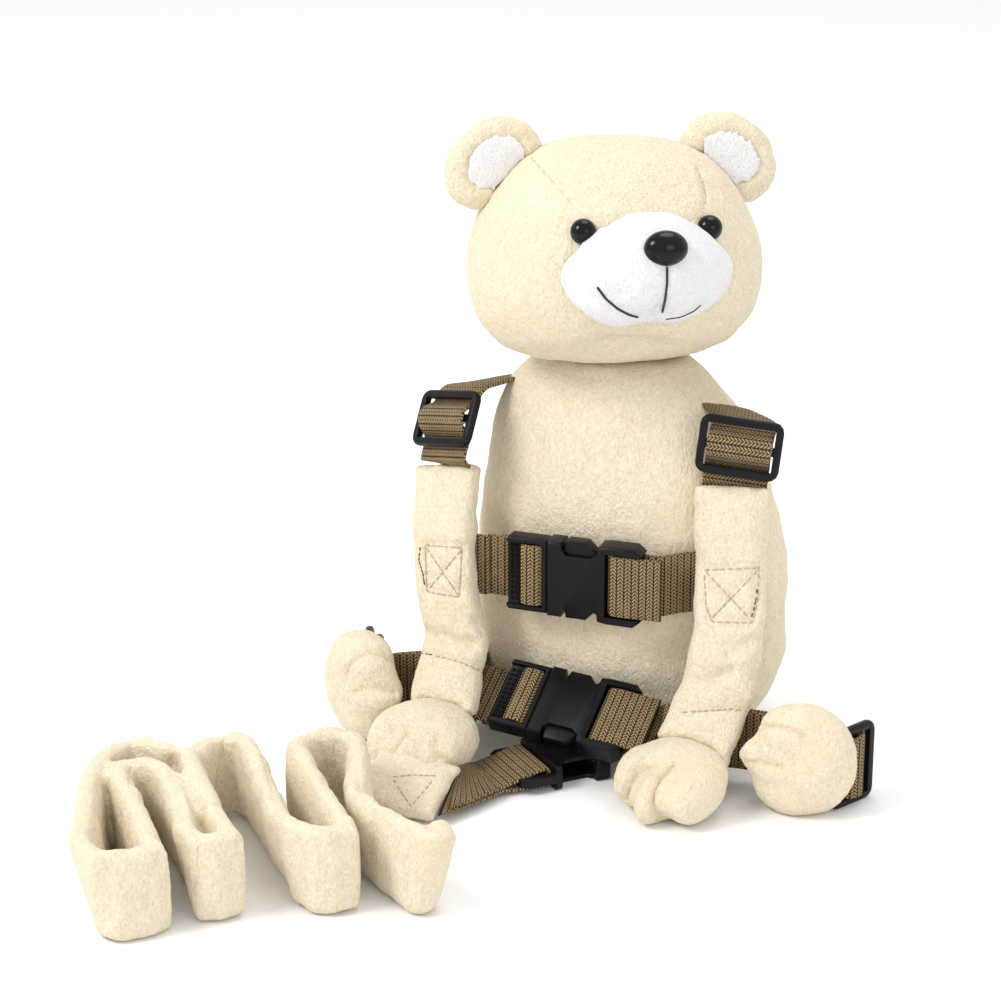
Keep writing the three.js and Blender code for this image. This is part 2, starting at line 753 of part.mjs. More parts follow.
const foldOut = sliderLength / 2 + 1.6;
const footThread = [
  [-sliderLength * 0.56, -sliderLift],
  [-weaveIn, -sliderLift],
  [-weaveOut, sliderLift],
  [foldOut - 1, sliderLift],
  [foldOut, sliderLift * 0.5],
  [foldOut, -sliderLift * 0.6],
  [foldOut - 1.2, -sliderLift - layer * 0.8],
  [weaveOut, -sliderLift - layer],
  [-sliderLength * 0.56, -sliderLift - layer - 0.2],
];

function waistWebbing(name, side) {
  const threadAt = side > 0 ? housingThread : ladderThread;
  const ends = alongBuckle(waistFrame, threadAt);
  const start = side > 0 ? ends[ends.length - 1] : ends[0];
  const turned = threaded(footFrame(name, side), footThread);
  const between = waistRows[name].map(({ share, front }) =>
    station(vec(THREE.MathUtils.lerp(start.centre.x, turned[0].centre.x, share), -front, waistHeight)),
  );
  const upright = (s) => station(s.centre, up.clone());
  const out = smooth([start, ...between, upright(turned[0])], 3);
  const back = layer + 0.8;
  const body = torsoAt(waistHeight);
  const home = [
    turned[turned.length - 1],
    station(between[2].centre.clone().add(vec(0, back, 0))),
    station(between[1].centre.clone().add(vec(0, back + 0.4, 0))),
    station(vec(side * body.side * 0.86, -body.front * 0.42, waistHeight)),
    station(vec(side * body.side * 0.72, -body.front * 0.2, waistHeight)),
  ];
  const route = [...turned.slice(0, -1).map(upright), ...smooth(home.map(upright), 3)];
  const first = side > 0 ? ends.slice(0, -1) : ends.slice(1).reverse();
  return [...first, ...out.slice(0, -1), ...route];
}

// Tether: the padded strap stands on its edge in hairpin folds, from the end flap to the wrist loop.
// Each turn has three points of its upper edge, as shares of the fold's depth from the tether's place,
// with the shift of the lower edge in x at each of them
const tetherPlace = vec(-60, -165, 0);
const tetherTurns = [
  { name: "front 4", points: [[0.62, -0.27, -0.1], [0.67, -0.34, -0.1], [0.63, -0.4, -0.1]] },
  { name: "beside the flap", points: [[0.52, -0.36, -0.04], [0.37, -0.28, 0.02], [0.12, -0.09, 0.06]] },
  { name: "back 4", points: [[-0.08, 0.42, 0.02], [-0.22, 0.46, 0], [-0.32, 0.27, 0]] },
  { name: "front 3", points: [[0.25, -0.46, 0], [0.09, -0.54, 0.04], [-0.14, -0.38, 0.12]] },
  { name: "back 3", points: [[-0.45, 0.09, 0.03], [-0.62, 0.27, 0], [-0.76, 0.02, 0]] },
  { name: "front 2", points: [[-0.21, -0.69, 0], [-0.33, -0.77, 0.03], [-0.48, -0.63, 0.1]] },
  { name: "back 2", points: [[-0.76, -0.2, 0.02], [-0.88, -0.13, 0], [-1.0, -0.22, 0]] },
  { name: "front 1", points: [[-0.47, -0.92, 0.02], [-0.59, -1.03, 0.07], [-0.75, -1.08, 0.2]] },
  { name: "wrist loop", points: [[-0.95, -0.66, 0.06], [-1.12, -0.12, 0], [-1.02, 0.05, 0]] },
  { name: "loop end", points: [[-0.84, 0.03, 0]] },
];

function tetherPath() {
  const stations = tetherTurns.flatMap(({ points }) =>
    points.map(([x, y, shift]) => {
      const top = vec(tetherPlace.x + x * tetherFold, tetherPlace.y + y * tetherFold, tetherWidth);
      const bottom = top.clone().add(vec(shift * tetherFold, 0, -tetherWidth));
      return station(top.clone().lerp(bottom, 0.5), top.sub(bottom).normalize());
    }),
  );
  return smooth(stations, 2);
}

function makeTether(grow = 0) {
  return strap(tetherPath(), tetherWidth, tetherThickness, padSection, grow);
}

// End flap: the strap's sewn end, lying beside the last fold with its rear edge up on the paw
const flapEdge = vec(-35.5, -117.5, 8);
const flapAlong = vec(-1, 0.05, 0.05).normalize();
const flapAcross = vec(-0.08, 0.96, 0.27).normalize();
const flapThickness = tetherThickness * 0.9;

function flapPath() {
  return [0, 0.3, 0.65, 1].map((share) =>
    station(flapEdge.clone().addScaledVector(flapAlong, share * flapLength), flapAcross),
  );
}

function makeFlap(grow = 0) {
  return strap(flapPath(), flapWidth, flapThickness, padSection, grow);
}

// Tether buckle: the loose half of a side-release buckle, flat on the floor beside the waist buckle
const tetherBuckleTurn = 226;
const tetherBuckleEnd = vec(-24, -84, buckleThickness / 2 + 0.1);

function tetherBuckleFrame() {
  const along = vec(Math.cos(tetherBuckleTurn * deg), Math.sin(tetherBuckleTurn * deg), 0);
  const across = vec(-along.y, along.x, 0);
  const centre = tetherBuckleEnd.clone().addScaledVector(along, -buckleLength / 2);
  return buckleFrame(centre, along, across);
}

function tetherWebbingPath() {
  const frame = tetherBuckleFrame();
  const middle = (housingSlot + housingBar) / 2;
  const loop = alongBuckle(frame, [
    [buckleLength + 6, barLift - 1.2],
    [buckleLength + 1, barLift],
    [middle, barLift],
    [middle, -barLift],
    [buckleLength + 1, -barLift],
    [buckleLength + 7, -barLift + 0.6],
  ]);
  const across = flapAcross.clone().negate();
  const start = station(flapEdge.clone().addScaledVector(flapAlong, -seamGap - 0.2), across);
  return [...smooth([start, loop[loop.length - 1]], 6).slice(0, -1), ...loop.reverse()];
}

// Materials
const finish = (color, roughness) => new THREE.MeshStandardMaterial({ color, roughness, metalness: 0 });
const plush = finish(0xeaddbe, 0.95);
const whitePlush = finish(0xf4f2ec, 0.95);
const strapWeave = finish(0x6b5a3c, 0.85);
const blackPlastic = finish(0x17171a, 0.45);
const glossBlack = finish(0x08080a, 0.12);

const group = new THREE.Group();

function add(name, solid, material) {
  const mesh = new THREE.Mesh(toGeometry(solid), material);
  mesh.name = name;
  group.add(mesh);
}

const torsoSpace = makeTorso(seamGap);
const headSpace = makeHead(seamGap);
const muzzleSpace = makeMuzzle(seamGap);

add("torso", cut(makeTorso(), headSpace), plush);
add("head", makeHead(), plush);
add("muzzle", cut(makeMuzzle(), headSpace), whitePlush);
add("nose", cut(makeNose(), muzzleSpace, headSpace), glossBlack);

for (const { name, side } of sides) {
  const paw = handMatrix(name, side);
  const foot = footMatrix(name, side);
  const { frame, path } = shoulder(name, side);
  const waistPath = waistWebbing(name, side);
  const chestPath = chestWebbing(name, side);
  const armSpace = makeArm(name, side, seamGap);
  const pawSpace = makePaw(paw, seamGap);
  add(`eye_${name}`, cut(makeEye(side), headSpace, muzzleSpace), glossBlack);
  add(`ear_${name}`, cut(makeEar(side), headSpace), plush);
  add(`inner_ear_${name}`, cut(makeInnerEar(side), headSpace), whitePlush);
  add(`arm_${name}`, cut(makeArm(name, side), pawSpace, torsoSpace, floor()), plush);
  add(`hand_${name}`, cut(makePaw(paw), floor()), plush);
  const footNeighbours = [webbing(waistPath, 2 * seamGap), sliderSpace(footFrame(name, side)), pawSpace];
  add(`foot_${name}`, largest(cut(makePaw(foot), ...footNeighbours, floor())), plush);
  add(`shoulder_slider_${name}`, makeSlider(frame), blackPlastic);
  add(`shoulder_webbing_${name}`, cut(webbing(path), torsoSpace, armSpace), strapWeave);
  add(`chest_webbing_${name}`, cut(webbing(chestPath), torsoSpace, armSpace), strapWeave);
  add(`waist_webbing_${name}`, cut(webbing(waistPath), torsoSpace, armSpace, pawSpace), strapWeave);
  add(`foot_slider_${name}`, makeSlider(footFrame(name, side)), blackPlastic);
}

add("chest_buckle_ladder", makeLadder(chestFrame), blackPlastic);
add("chest_buckle_housing", makeHousing(chestFrame, false), blackPlastic);
add("waist_buckle_ladder", makeLadder(waistFrame), blackPlastic);
add("waist_buckle_housing", makeHousing(waistFrame, false), blackPlastic);
add("tether_buckle", makeHousing(tetherBuckleFrame(), true), blackPlastic);
add("tether_strap", makeTether(), plush);
const rightHandSpace = makePaw(handMatrix("right", -1), seamGap);
const tetherWeb = strap(tetherWebbingPath(), webWidth, webThickness, webSection, 0, true);
add("tether_end_flap", cut(makeFlap(), makeTether(seamGap), rightHandSpace, floor()), plush);
add("tether_webbing", cut(tetherWeb, makeFlap(seamGap), rightHandSpace, floor()), strapWeave);

// The object's frame: the floor under the middle of its bounding box
const extent = new THREE.Box3().setFromObject(group);
group.position.set(-(extent.min.x + extent.max.x) / 2, -(extent.min.y + extent.max.y) / 2, -extent.min.z);

export default group;
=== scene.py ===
# %% [markdown]
# # A toddler's harness backpack in the form of a plush bear
#
# The object is a small stuffed bear that a toddler wears as a backpack. Its plush arms are the padded
# shoulder straps, webbing with side-release buckles closes it at the chest and the waist, and a padded
# tether with a wrist loop lies folded in front of it.
#
# The hard parts come from the CAD model, which this lesson loads as a fixed frame. The lesson then turns
# each plain soft solid into stuffed plush, lays woven webbing along the straps' routes, softens the
# edges of the plastic, sews the seams, and paints everything with procedural materials.

import math

import bpy
import numpy as np
from mathutils import Matrix, Vector, noise
from mathutils.bvhtree import BVHTree
from mathutils.kdtree import KDTree


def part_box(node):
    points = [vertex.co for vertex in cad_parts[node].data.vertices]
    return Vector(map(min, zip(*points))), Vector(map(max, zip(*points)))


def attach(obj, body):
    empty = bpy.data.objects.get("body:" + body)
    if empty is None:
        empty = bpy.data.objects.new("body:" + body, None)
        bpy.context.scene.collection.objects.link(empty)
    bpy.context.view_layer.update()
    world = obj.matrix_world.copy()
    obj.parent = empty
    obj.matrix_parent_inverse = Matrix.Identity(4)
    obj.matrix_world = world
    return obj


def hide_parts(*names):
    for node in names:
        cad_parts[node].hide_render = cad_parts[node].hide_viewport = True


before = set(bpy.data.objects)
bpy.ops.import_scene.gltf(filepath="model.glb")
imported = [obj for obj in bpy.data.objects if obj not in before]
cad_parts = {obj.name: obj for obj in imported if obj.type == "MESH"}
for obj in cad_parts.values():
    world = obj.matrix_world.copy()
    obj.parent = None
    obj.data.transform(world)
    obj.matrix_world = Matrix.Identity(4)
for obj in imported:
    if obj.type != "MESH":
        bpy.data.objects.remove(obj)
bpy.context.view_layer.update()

# %% [markdown]
# ## The camera
#
# The photograph is taken from a little above the bear's head and from its left, with a long lens, so
# that lines hardly converge. The camera is set first, because the seams and the smile are placed by
# where the photograph shows them: a ray through a point of the picture meets the plush where they lie.

# %% Camera
MM = 0.001
BEAR = Vector((19.36, 105.53, 0)) * MM
CAMERA_FROM_BEAR = Vector((0.33574, -1.07780, 0.50103))
TARGET_FROM_BEAR = Vector((-0.04993, -0.01817, 0.09061))
LENS = 107.9
SENSOR = 36
PICTURE = 1001

camera_data = bpy.data.cameras.new("camera")
camera_data.lens = LENS
camera_data.sensor_width = SENSOR
camera_data.clip_start = 0.05
camera_data.clip_end = 20
camera = bpy.data.objects.new("camera", camera_data)
bpy.context.scene.collection.objects.link(camera)
camera.location = BEAR + CAMERA_FROM_BEAR
camera.rotation_euler = (TARGET_FROM_BEAR - CAMERA_FROM_BEAR).to_track_quat("-Z", "Y").to_euler()
bpy.context.scene.camera = camera
bpy.context.view_layer.update()
print("camera height in mm:", round(camera.location.z * 1000))


def sight(pixel):
    """The camera's place, and the direction in which it sees a point of the picture."""
    x = (pixel[0] / PICTURE - 0.5) * SENSOR / LENS
    y = (0.5 - pixel[1] / PICTURE) * SENSOR / LENS
    turn = camera.matrix_world.to_3x3()
    return camera.matrix_world.translation.copy(), (turn @ Vector((x, y, -1))).normalized()


# %% [markdown]
# ## Writing shader maths
#
# A material is a network of nodes. Written out node by node it is hard to read, so a small class wraps
# a socket and lets numbers be added and multiplied with it, and each sum adds its Math node. One method
# makes every other node from its type, its settings and its inputs.

# %% Shader helpers
class Term:
    """A socket's number. Sums and products on it add Math nodes."""

    def __init__(self, paint, socket):
        self.paint, self.socket = paint, socket

    def __add__(self, other):
        return self.paint.maths("ADD", self, other)

    __radd__ = __add__

    def __sub__(self, other):
        return self.paint.maths("SUBTRACT", self, other)

    def __rsub__(self, other):
        return self.paint.maths("SUBTRACT", other, self)

    def __mul__(self, other):
        return self.paint.maths("MULTIPLY", self, other)

    __rmul__ = __mul__

    def __truediv__(self, other):
        return self.paint.maths("DIVIDE", self, other)

    def __abs__(self):
        return self.paint.maths("ABSOLUTE", self)

    def sine(self):
        return self.paint.maths("SINE", self)

    def fraction(self):
        return self.paint.maths("FRACT", self)

    def clamped(self):
        return self.paint.maths("MAXIMUM", self.paint.maths("MINIMUM", self, 1), 0)


class Paint:
    """A material with a Principled shader, whose constant values are given once."""

    def __init__(self, name, **constants):
        self.material = bpy.data.materials.new(name)
        self.material.use_nodes = True
        self.tree = self.material.node_tree
        self.tree.nodes.clear()
        values = {key.replace("_", " "): value for key, value in constants.items()}
        self.shader = self.node("ShaderNodeBsdfPrincipled", inputs=values).socket.node
        self.node("ShaderNodeOutputMaterial", inputs={"Surface": Term(self, self.shader.outputs[0])})

    def node(self, kind, settings=None, inputs=None, output=0):
        made = self.tree.nodes.new(kind)
        for key, value in (settings or {}).items():
            if key == "stops":
                while len(made.color_ramp.elements) < len(value):
                    made.color_ramp.elements.new(0.5)
                for element, (place, colour) in zip(made.color_ramp.elements, value):
                    element.position = place
                    element.color = (*colour, 1)
            else:
                setattr(made, key, value)
        for key, value in (inputs or {}).items():
            socket = made.inputs[key]
            if isinstance(value, Term):
                self.tree.links.new(value.socket, socket)
            elif hasattr(value, "__len__") and len(value) == 3 and len(socket.default_value) == 4:
                socket.default_value = (*value, 1)
            else:
                socket.default_value = value
        return Term(self, made.outputs[output]) if made.outputs else None

    def maths(self, operation, *values):
        return self.node("ShaderNodeMath", {"operation": operation}, dict(enumerate(values)))

    def blend(self, share, first, second):
        return self.node(
            "ShaderNodeMix", {"data_type": "RGBA"}, {0: share, 6: first, 7: second}, output=2
        )

    def grain(self, where, size, detail=2, roughness=0.5):
        """Soft noise whose lumps are about size metres apart."""
        inputs = {"Vector": where, "Scale": 1 / size, "Detail": detail, "Roughness": roughness}
        return self.node("ShaderNodeTexNoise", inputs=inputs)

    def steps(self, value, low, high):
        """0 below low, 1 above high, and smooth between them."""
        inputs = {"Value": value, "From Min": low, "From Max": high}
        return self.node("ShaderNodeMapRange", {"interpolation_type": "SMOOTHSTEP"}, inputs)

    def stretched(self, where, scale):
        return self.node("ShaderNodeMapping", inputs={"Vector": where, "Scale": scale})

    def finish(self, height, distance, strength=1.0, **varying):
        """Links the varying values, and a bump of that height in metres."""
        bump = {"Height": height, "Distance": distance, "Strength": strength}
        varying["Normal"] = self.node("ShaderNodeBump", inputs=bump)
        for key, value in varying.items():
            self.tree.links.new(value.socket, self.shader.inputs[key.replace("_", " ")])
        return self.material


# %% [markdown]
# ## Plush
#
# The bear's skin is a short plush. Its pile lies in small patches that catch the light differently, so
# up close it looks mottled, and from further away soft and even. Real hair would be far too many curves,
# so three sizes of noise do the work: broad shade, patches of pile a few millimetres wide, and fibres
# well under a millimetre. Sheen on the shader gives the light rim that short pile has.

# %% Plush material
# The sizes of the three noises, in metres
BROAD, PATCH, FIBRE = 0.034, 0.0034, 0.001


def plush(name, light, dark, deep, sheen):
    paint = Paint(name, Roughness=0.95, Sheen_Weight=sheen, Sheen_Roughness=0.45, Specular_IOR_Level=0.15)
    where = paint.node("ShaderNodeTexCoord", output=3)
    broad = paint.grain(where, BROAD, 2)
    patches = paint.grain(paint.stretched(where, (1, 1, 0.6)), PATCH, 2, 0.55)
    fibres = paint.grain(paint.stretched(where, (1, 1, 0.6)), FIBRE, 2, 0.75)
    shade = paint.steps(patches, 0.34, 0.6) * 0.25 + paint.steps(fibres, 0.34, 0.62) * 0.75
    colour = paint.blend(shade, dark, light)
    colour = paint.blend(paint.steps(broad, 0.5, 0.75) * 0.6, colour, deep)
    pile = fibres * 0.85 + patches * 0.35
    return paint.finish(pile, 0.0016, 0.85, Base_Color=colour)


cream = plush("cream_plush", (0.84, 0.75, 0.585), (0.715, 0.615, 0.435), (0.80, 0.685, 0.475), 0.08)
white = plush("white_plush", (0.84, 0.83, 0.835), (0.78, 0.765, 0.765), (0.82, 0.805, 0.79), 0.08)
print("plush materials:", cream.name, white.name)

# %% [markdown]
# ## Webbing and plastic
#
# Webbing is woven in ribs that run across it, and in each rib the threads lie in small chevrons, like
# knitting. The pattern has to follow the strap round its folds, so it reads the strap's own UV map, in
# which one unit is a metre: u runs along the strap and v across it. A sine of v plus the distance from
# the rib's middle gives the chevrons. The height then colours the weave: painted shade in the low gaps
# between threads and a painted highlight on the thread tops.

# %% Webbing material
RIB = 2.9 * MM
CHEVRON = 1.45 * MM
TURN = 2 * math.pi


def webbing(name, thread, gap):
    paint = Paint(name, Roughness=0.75, Sheen_Weight=0.05, Specular_IOR_Level=0.2)
    surface = paint.node("ShaderNodeUVMap", {"uv_map": "strap"})
    along = paint.node("ShaderNodeSeparateXYZ", inputs={0: surface})
    across = Term(paint, along.socket.node.outputs[1])
    place = abs((along / RIB).fraction() - 0.5)
    threads = ((across + place * RIB * 1.1) * (TURN / CHEVRON)).sine() * 0.5 + 0.5
    rib = (1 - paint.steps(place, 0.34, 0.5)) * (paint.steps(place, 0.0, 0.12) * 0.5 + 0.5)
    height = paint.steps(threads, 0.15, 0.85) * 0.8 * rib + rib * 0.2
    wear = paint.grain(paint.node("ShaderNodeTexCoord", output=3), 0.006, 3, 0.6)
    # The colour follows the height: painted shade in the gaps between threads, a painted highlight on the
    # thread tops, and the wear noise lightens the weave a little at random
    lit = (height * 1.15 + paint.steps(wear, 0.45, 0.75) * 0.15 - 0.12).clamped()
    colour = paint.blend(lit, gap, thread)
    return paint.finish(height, 0.0006, 1.0, Base_Color=colour)


# The thread's colour, then the near-black painted shade of the gaps between threads
olive = webbing("olive_webbing", (0.47, 0.335, 0.17), (0.03, 0.017, 0.006))
print("webbing:", olive.name, "rib", round(RIB * 1000, 2), "mm, chevron", round(CHEVRON * 1000, 2), "mm")

# %% [markdown]
# The buckles and sliders are moulded in black nylon. It has a fine spark-eroded grain, and its tone and
# roughness vary a little at random. The eyes and the nose are polished, so they have hardly any grain. The
# smile is embroidered in black thread, and the seams are sewn in thread that is a little darker than the
# plush, with a brown thread below that comes through at a few places.

# %% Plastic and thread materials
def moulded(name, colour, roughness, grain_depth, shine):
    paint = Paint(name, Specular_IOR_Level=shine)
    where = paint.node("ShaderNodeTexCoord", output=3)
    fine = paint.grain(where, 0.0006, 2, 0.6)
    broad = paint.grain(where, 0.009, 3, 0.6)
    tone = paint.blend(paint.steps(broad, 0.4, 0.75) * 0.5, colour, tuple(1.8 * c + 0.001 for c in colour))
    rough = broad * 0.25 + (roughness - 0.12)
    return paint.finish(fine, grain_depth, 0.5, Base_Color=tone, Roughness=rough)


def thread(name, light, dark):
    paint = Paint(name, Roughness=0.8, Sheen_Weight=0.2)
    where = paint.node("ShaderNodeTexCoord", output=3)
    twist = paint.grain(where, 0.0004, 2, 0.6)
    return paint.finish(twist, 0.0002, 0.6, Base_Color=paint.blend(twist, dark, light))


nylon = moulded("black_nylon", (0.0035, 0.0035, 0.0045), 0.4, 0.00012, 0.22)
polished = moulded("polished_black", (0.001, 0.001, 0.0015), 0.13, 0.00001, 0.27)
seam_thread = thread("seam_thread", (0.55, 0.45, 0.31), (0.4, 0.31, 0.19))
brown_thread = thread("brown_thread", (0.14, 0.085, 0.03), (0.06, 0.035, 0.012))
smile_thread = thread("smile_thread", (0.03, 0.03, 0.035), (0.008, 0.008, 0.01))
print("hard materials:", nylon.name, polished.name)
print("threads:", seam_thread.name, brown_thread.name, smile_thread.name)

# %% [markdown]
# ## Stuffing a plain solid
#
# The CAD model holds each stuffed piece as a plain faceted solid. To make it soft, a copy is merged and
# given an even skin by a voxel remesh. Then a cloth simulation blows it up a little from inside, as
# stuffing does, with each point held to within a small distance of its start, so that the piece keeps
# its place. Smoothing and subdivision take the facets away, and two sizes of noise give the skin its
# slack and its ruffled pile.

# %% Copying a CAD node
def choose(obj):
    bpy.ops.object.select_all(action="DESELECT")
    obj.select_set(True)
    bpy.context.view_layer.objects.active = obj


def edit(obj, *operations):
    """Runs edit-mode operators on all of a mesh."""
    choose(obj)
    bpy.ops.object.mode_set(mode="EDIT")
    bpy.ops.mesh.select_all(action="SELECT")
    for operation in operations:
        operation()
    bpy.ops.object.mode_set(mode="OBJECT")


def merged_copy(node, name):
    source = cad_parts[node]
    made = bpy.data.objects.new(name, source.data.copy())
    bpy.context.scene.collection.objects.link(made)
    made.data.materials.clear()
    edit(made, lambda: bpy.ops.mesh.remove_doubles(threshold=1e-5))
    return made


def apply(obj, kind, **settings):
    choose(obj)
    modifier = obj.modifiers.new(kind.lower(), kind)
    for key, value in settings.items():
        setattr(modifier, key, value)
    bpy.ops.object.modifier_apply(modifier=modifier.name)


def points_of(obj):
    co = np.zeros(len(obj.data.vertices) * 3)
    obj.data.vertices.foreach_get("co", co)
    return co.reshape(-1, 3)


def normals_of(obj):
    out = np.zeros(len(obj.data.vertices) * 3)
    obj.data.vertices.foreach_get("normal", out)
    return out.reshape(-1, 3)


def set_points(obj, co):
    obj.data.vertices.foreach_set("co", co.ravel())
    obj.data.update()


# %% Blowing a skin up as stuffing does
CLOTH_FRAMES = 20


def blow_up(obj, pressure, furthest):
    """A short cloth simulation from inside, with each point held to within furthest metres."""
    before = points_of(obj)
    choose(obj)
    cloth = obj.modifiers.new("cloth", "CLOTH")
    cloth.settings.quality = 4
    cloth.settings.mass = 0.25
    cloth.settings.tension_stiffness = 12
    cloth.settings.compression_stiffness = 12
    cloth.settings.bending_stiffness = 0.4
    cloth.settings.use_pressure = True
    cloth.settings.uniform_pressure_force = pressure
    cloth.settings.effector_weights.gravity = 0
    cloth.collision_settings.use_collision = False
    for step in range(1, CLOTH_FRAMES + 1):
        bpy.context.scene.frame_set(step)
    bpy.ops.object.modifier_apply(modifier=cloth.name)
    bpy.context.scene.frame_set(1)
    move = points_of(obj) - before
    length = np.linalg.norm(move, axis=1, keepdims=True)
    held = move * np.minimum(1, furthest / np.maximum(length, 1e-9))
    set_points(obj, before + held)


def ruffle(obj, size, amount, stretch=(1, 1, 1), shift=0.0):
    """Moves the skin in and out by noise with lumps of that size."""
    co, out = points_of(obj), normals_of(obj)
    scaled = co / size / np.array(stretch) + shift
    lumps = np.array([noise.noise(p) for p in scaled])
    set_points(obj, co + out * (lumps * amount)[:, None])


def stuff(node, material, voxel, rounds, levels, swell, pressure=4.0, furthest=0.0015):
    """A plush piece in the place of a CAD node."""
    made = merged_copy(node, f"plush_{node}")
    apply(made, "REMESH", mode="VOXEL", voxel_size=voxel)
    blow_up(made, pressure, furthest)
    apply(made, "SMOOTH", factor=0.5, iterations=rounds)
    apply(made, "DISPLACE", strength=swell, mid_level=0)
    apply(made, "SUBSURF", levels=levels, render_levels=levels)
    made.data.materials.append(material)
    bpy.ops.object.shade_smooth()
    return made


def settle(obj, slot, *nodes):
    """Gives a finished piece its body and hides the CAD nodes that it stands for. The slot is not used."""
    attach(obj, "root")
    if nodes:
        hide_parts(*nodes)
    print(obj.name, len(obj.data.polygons), "faces")
    return obj


# %% [markdown]
# ## The stuffed bear
#
# The torso is a pear-shaped bag, and the head a rounder one that sits on it, turned to the bear's left.
# They are large and smooth, so a wide voxel is enough. The paws are small and have three toes each. They
# take a finer voxel, and two levels of subdivision for the sharp valleys that are pressed in later.

# %% Torso and head
torso = stuff("torso", cream, voxel=4 * MM, rounds=4, levels=2, swell=0.5 * MM)
head = stuff("head", cream, voxel=3.6 * MM, rounds=4, levels=2, swell=0.4 * MM)
muzzle = stuff("muzzle", white, voxel=2.2 * MM, rounds=4, levels=1, swell=0.3 * MM)

# %% Ears
ears = {}
for side in ("left", "right"):
    ears[side] = stuff(f"ear_{side}", cream, 1.5 * MM, 4, 1, 0.3 * MM)
    ears[f"inner_{side}"] = stuff(f"inner_ear_{side}", white, 1.2 * MM, 5, 1, 0.4 * MM, furthest=0.4 * MM)

# %% Paws
paws = {
    name: stuff(name, cream, voxel * MM, rounds, 2, swell * MM, furthest=0.8 * MM)
    for name, voxel, rounds, swell in (
        ("hand_left", 1.8, 10, 0.6),
        ("hand_right", 2.5, 10, 1.0),
        ("foot_left", 2.0, 24, 1.6),
        ("foot_right", 2.6, 20, 1.6),
    )
}

# %% Padded straps
arms = {side: stuff(f"arm_{side}", cream, 2.3 * MM, 3, 1, 0.4 * MM) for side in ("left", "right")}
tether = stuff("tether_strap", cream, 1.9 * MM, 3, 1, 0.1 * MM, furthest=0.6 * MM)
flap = stuff("tether_end_flap", cream, 2.2 * MM, 3, 1, 0.2 * MM, furthest=0.8 * MM)

# %% [markdown]
# ## Slack, creases and seams
#
# Stuffed cloth is never quite even. The straps and the tether are only lightly filled, so they have
# creases that run across them, most of all in the tether's bends. Where a seam or a line of stitches
# holds the skin down, it dips. The dips are made by moving the points near each line inwards, with the
# lines placed by where the photograph shows them.

# %% Slack
for piece, size, amount, stretch in (
    (torso, 26 * MM, 1.4 * MM, (1, 1, 1)),
    (torso, 9 * MM, 0.5 * MM, (1, 1, 1)),
    (head, 24 * MM, 0.9 * MM, (1, 1, 1)),
    (head, 8 * MM, 0.35 * MM, (1, 1, 1)),
    (muzzle, 9 * MM, 0.5 * MM, (1, 1, 1)),
    (arms["left"], 12 * MM, 1.0 * MM, (2.2, 2.2, 0.8)),
    (arms["right"], 12 * MM, 1.0 * MM, (2.2, 2.2, 0.8)),
    (tether, 9 * MM, 0.9 * MM, (1, 1, 5)),
    (tether, 5 * MM, 0.25 * MM, (1, 1, 1.5)),
    (flap, 8 * MM, 0.6 * MM, (1, 1, 1)),
):
    ruffle(piece, size, amount, stretch)
for side in ("left", "right"):
    ruffle(ears[side], 8 * MM, 0.6 * MM)
for paw in paws.values():
    ruffle(paw, 11 * MM, 0.4 * MM)

# %% Lines on a surface
# What a pixel of the picture spans on the bear, in mm
PIXEL_SPAN = 0.39


def trace(obj, pixels, spacing=0.8 * MM):
    """Points and normals on a piece, along a line that is given in the picture."""
    mesh = obj.data
    tree = BVHTree.FromPolygons([v.co for v in mesh.vertices], [p.vertices for p in mesh.polygons])
    found = []
    for first, second in zip(pixels, pixels[1:]):
        count = max(2, round(math.dist(first, second) * PIXEL_SPAN * MM / spacing))
        for i in range(count):
            share = i / count
            pixel = [a + (b - a) * share for a, b in zip(first, second)]
            place, out, _, _ = tree.ray_cast(*sight(pixel))
            if place:
                found.append((place, out))
    return found


def traced(obj, drawn):
    """The points and normals of several lines of the picture."""
    return [trace(obj, pixels) for pixels in drawn]


# %% Dips and valleys
def press(obj, line, width, depth, sharp=False):
    """Pulls the skin in along a line, in a soft dip or a sharp valley. A negative depth pushes it out."""
    if not line:
        print("no line on", obj.name)
        return
    finder = KDTree(len(line))
    for i, (place, _) in enumerate(line):
        finder.insert(place, i)
    finder.balance()
    co, out = points_of(obj), normals_of(obj)
    near = np.array([finder.find(p)[2] for p in co])
    dip = np.exp(-near / width) if sharp else np.exp(-((near / width) ** 2))
    set_points(obj, co - out * (depth * dip)[:, None])


# %% Stitches
BEAD_SIDES = 6
# A stitch's rings of corners, as shares of its length and its radius
BEAD_RINGS = ((-0.5, 0.35), (-0.25, 0.9), (0.25, 0.9), (0.5, 0.35))
# How far a stitch's middle stands proud of the skin, as a share of its radius
PROUD = 0.3


def bead(centre, ahead, out, length, radius):
    """The corners and faces of one stitch: a short thread, thick in its middle."""
    side = ahead.cross(out).normalized()
    corners = [
        centre + ahead * (along * length) + (side * math.cos(a) + out * math.sin(a)) * (radius * thick)
        for along, thick in BEAD_RINGS
        for a in (TURN * k / BEAD_SIDES for k in range(BEAD_SIDES))
    ]
    faces = []
    for first in range(0, len(corners) - BEAD_SIDES, BEAD_SIDES):
        for k in range(BEAD_SIDES):
            a, b = first + k, first + (k + 1) % BEAD_SIDES
            faces.append((a, b, b + BEAD_SIDES, a + BEAD_SIDES))
    faces.append(tuple(range(BEAD_SIDES - 1, -1, -1)))
    faces.append(tuple(range(len(corners) - BEAD_SIDES, len(corners))))
    return corners, faces


def mesh_piece(name, corners, faces, material):
    mesh = bpy.data.meshes.new(name)
    mesh.from_pydata(corners, [], faces)
    made = bpy.data.objects.new(name, mesh)
    bpy.context.scene.collection.objects.link(made)
    made.data.materials.append(material)
    edit(made, lambda: bpy.ops.mesh.normals_make_consistent(inside=False))
    bpy.ops.object.shade_smooth()
    return made


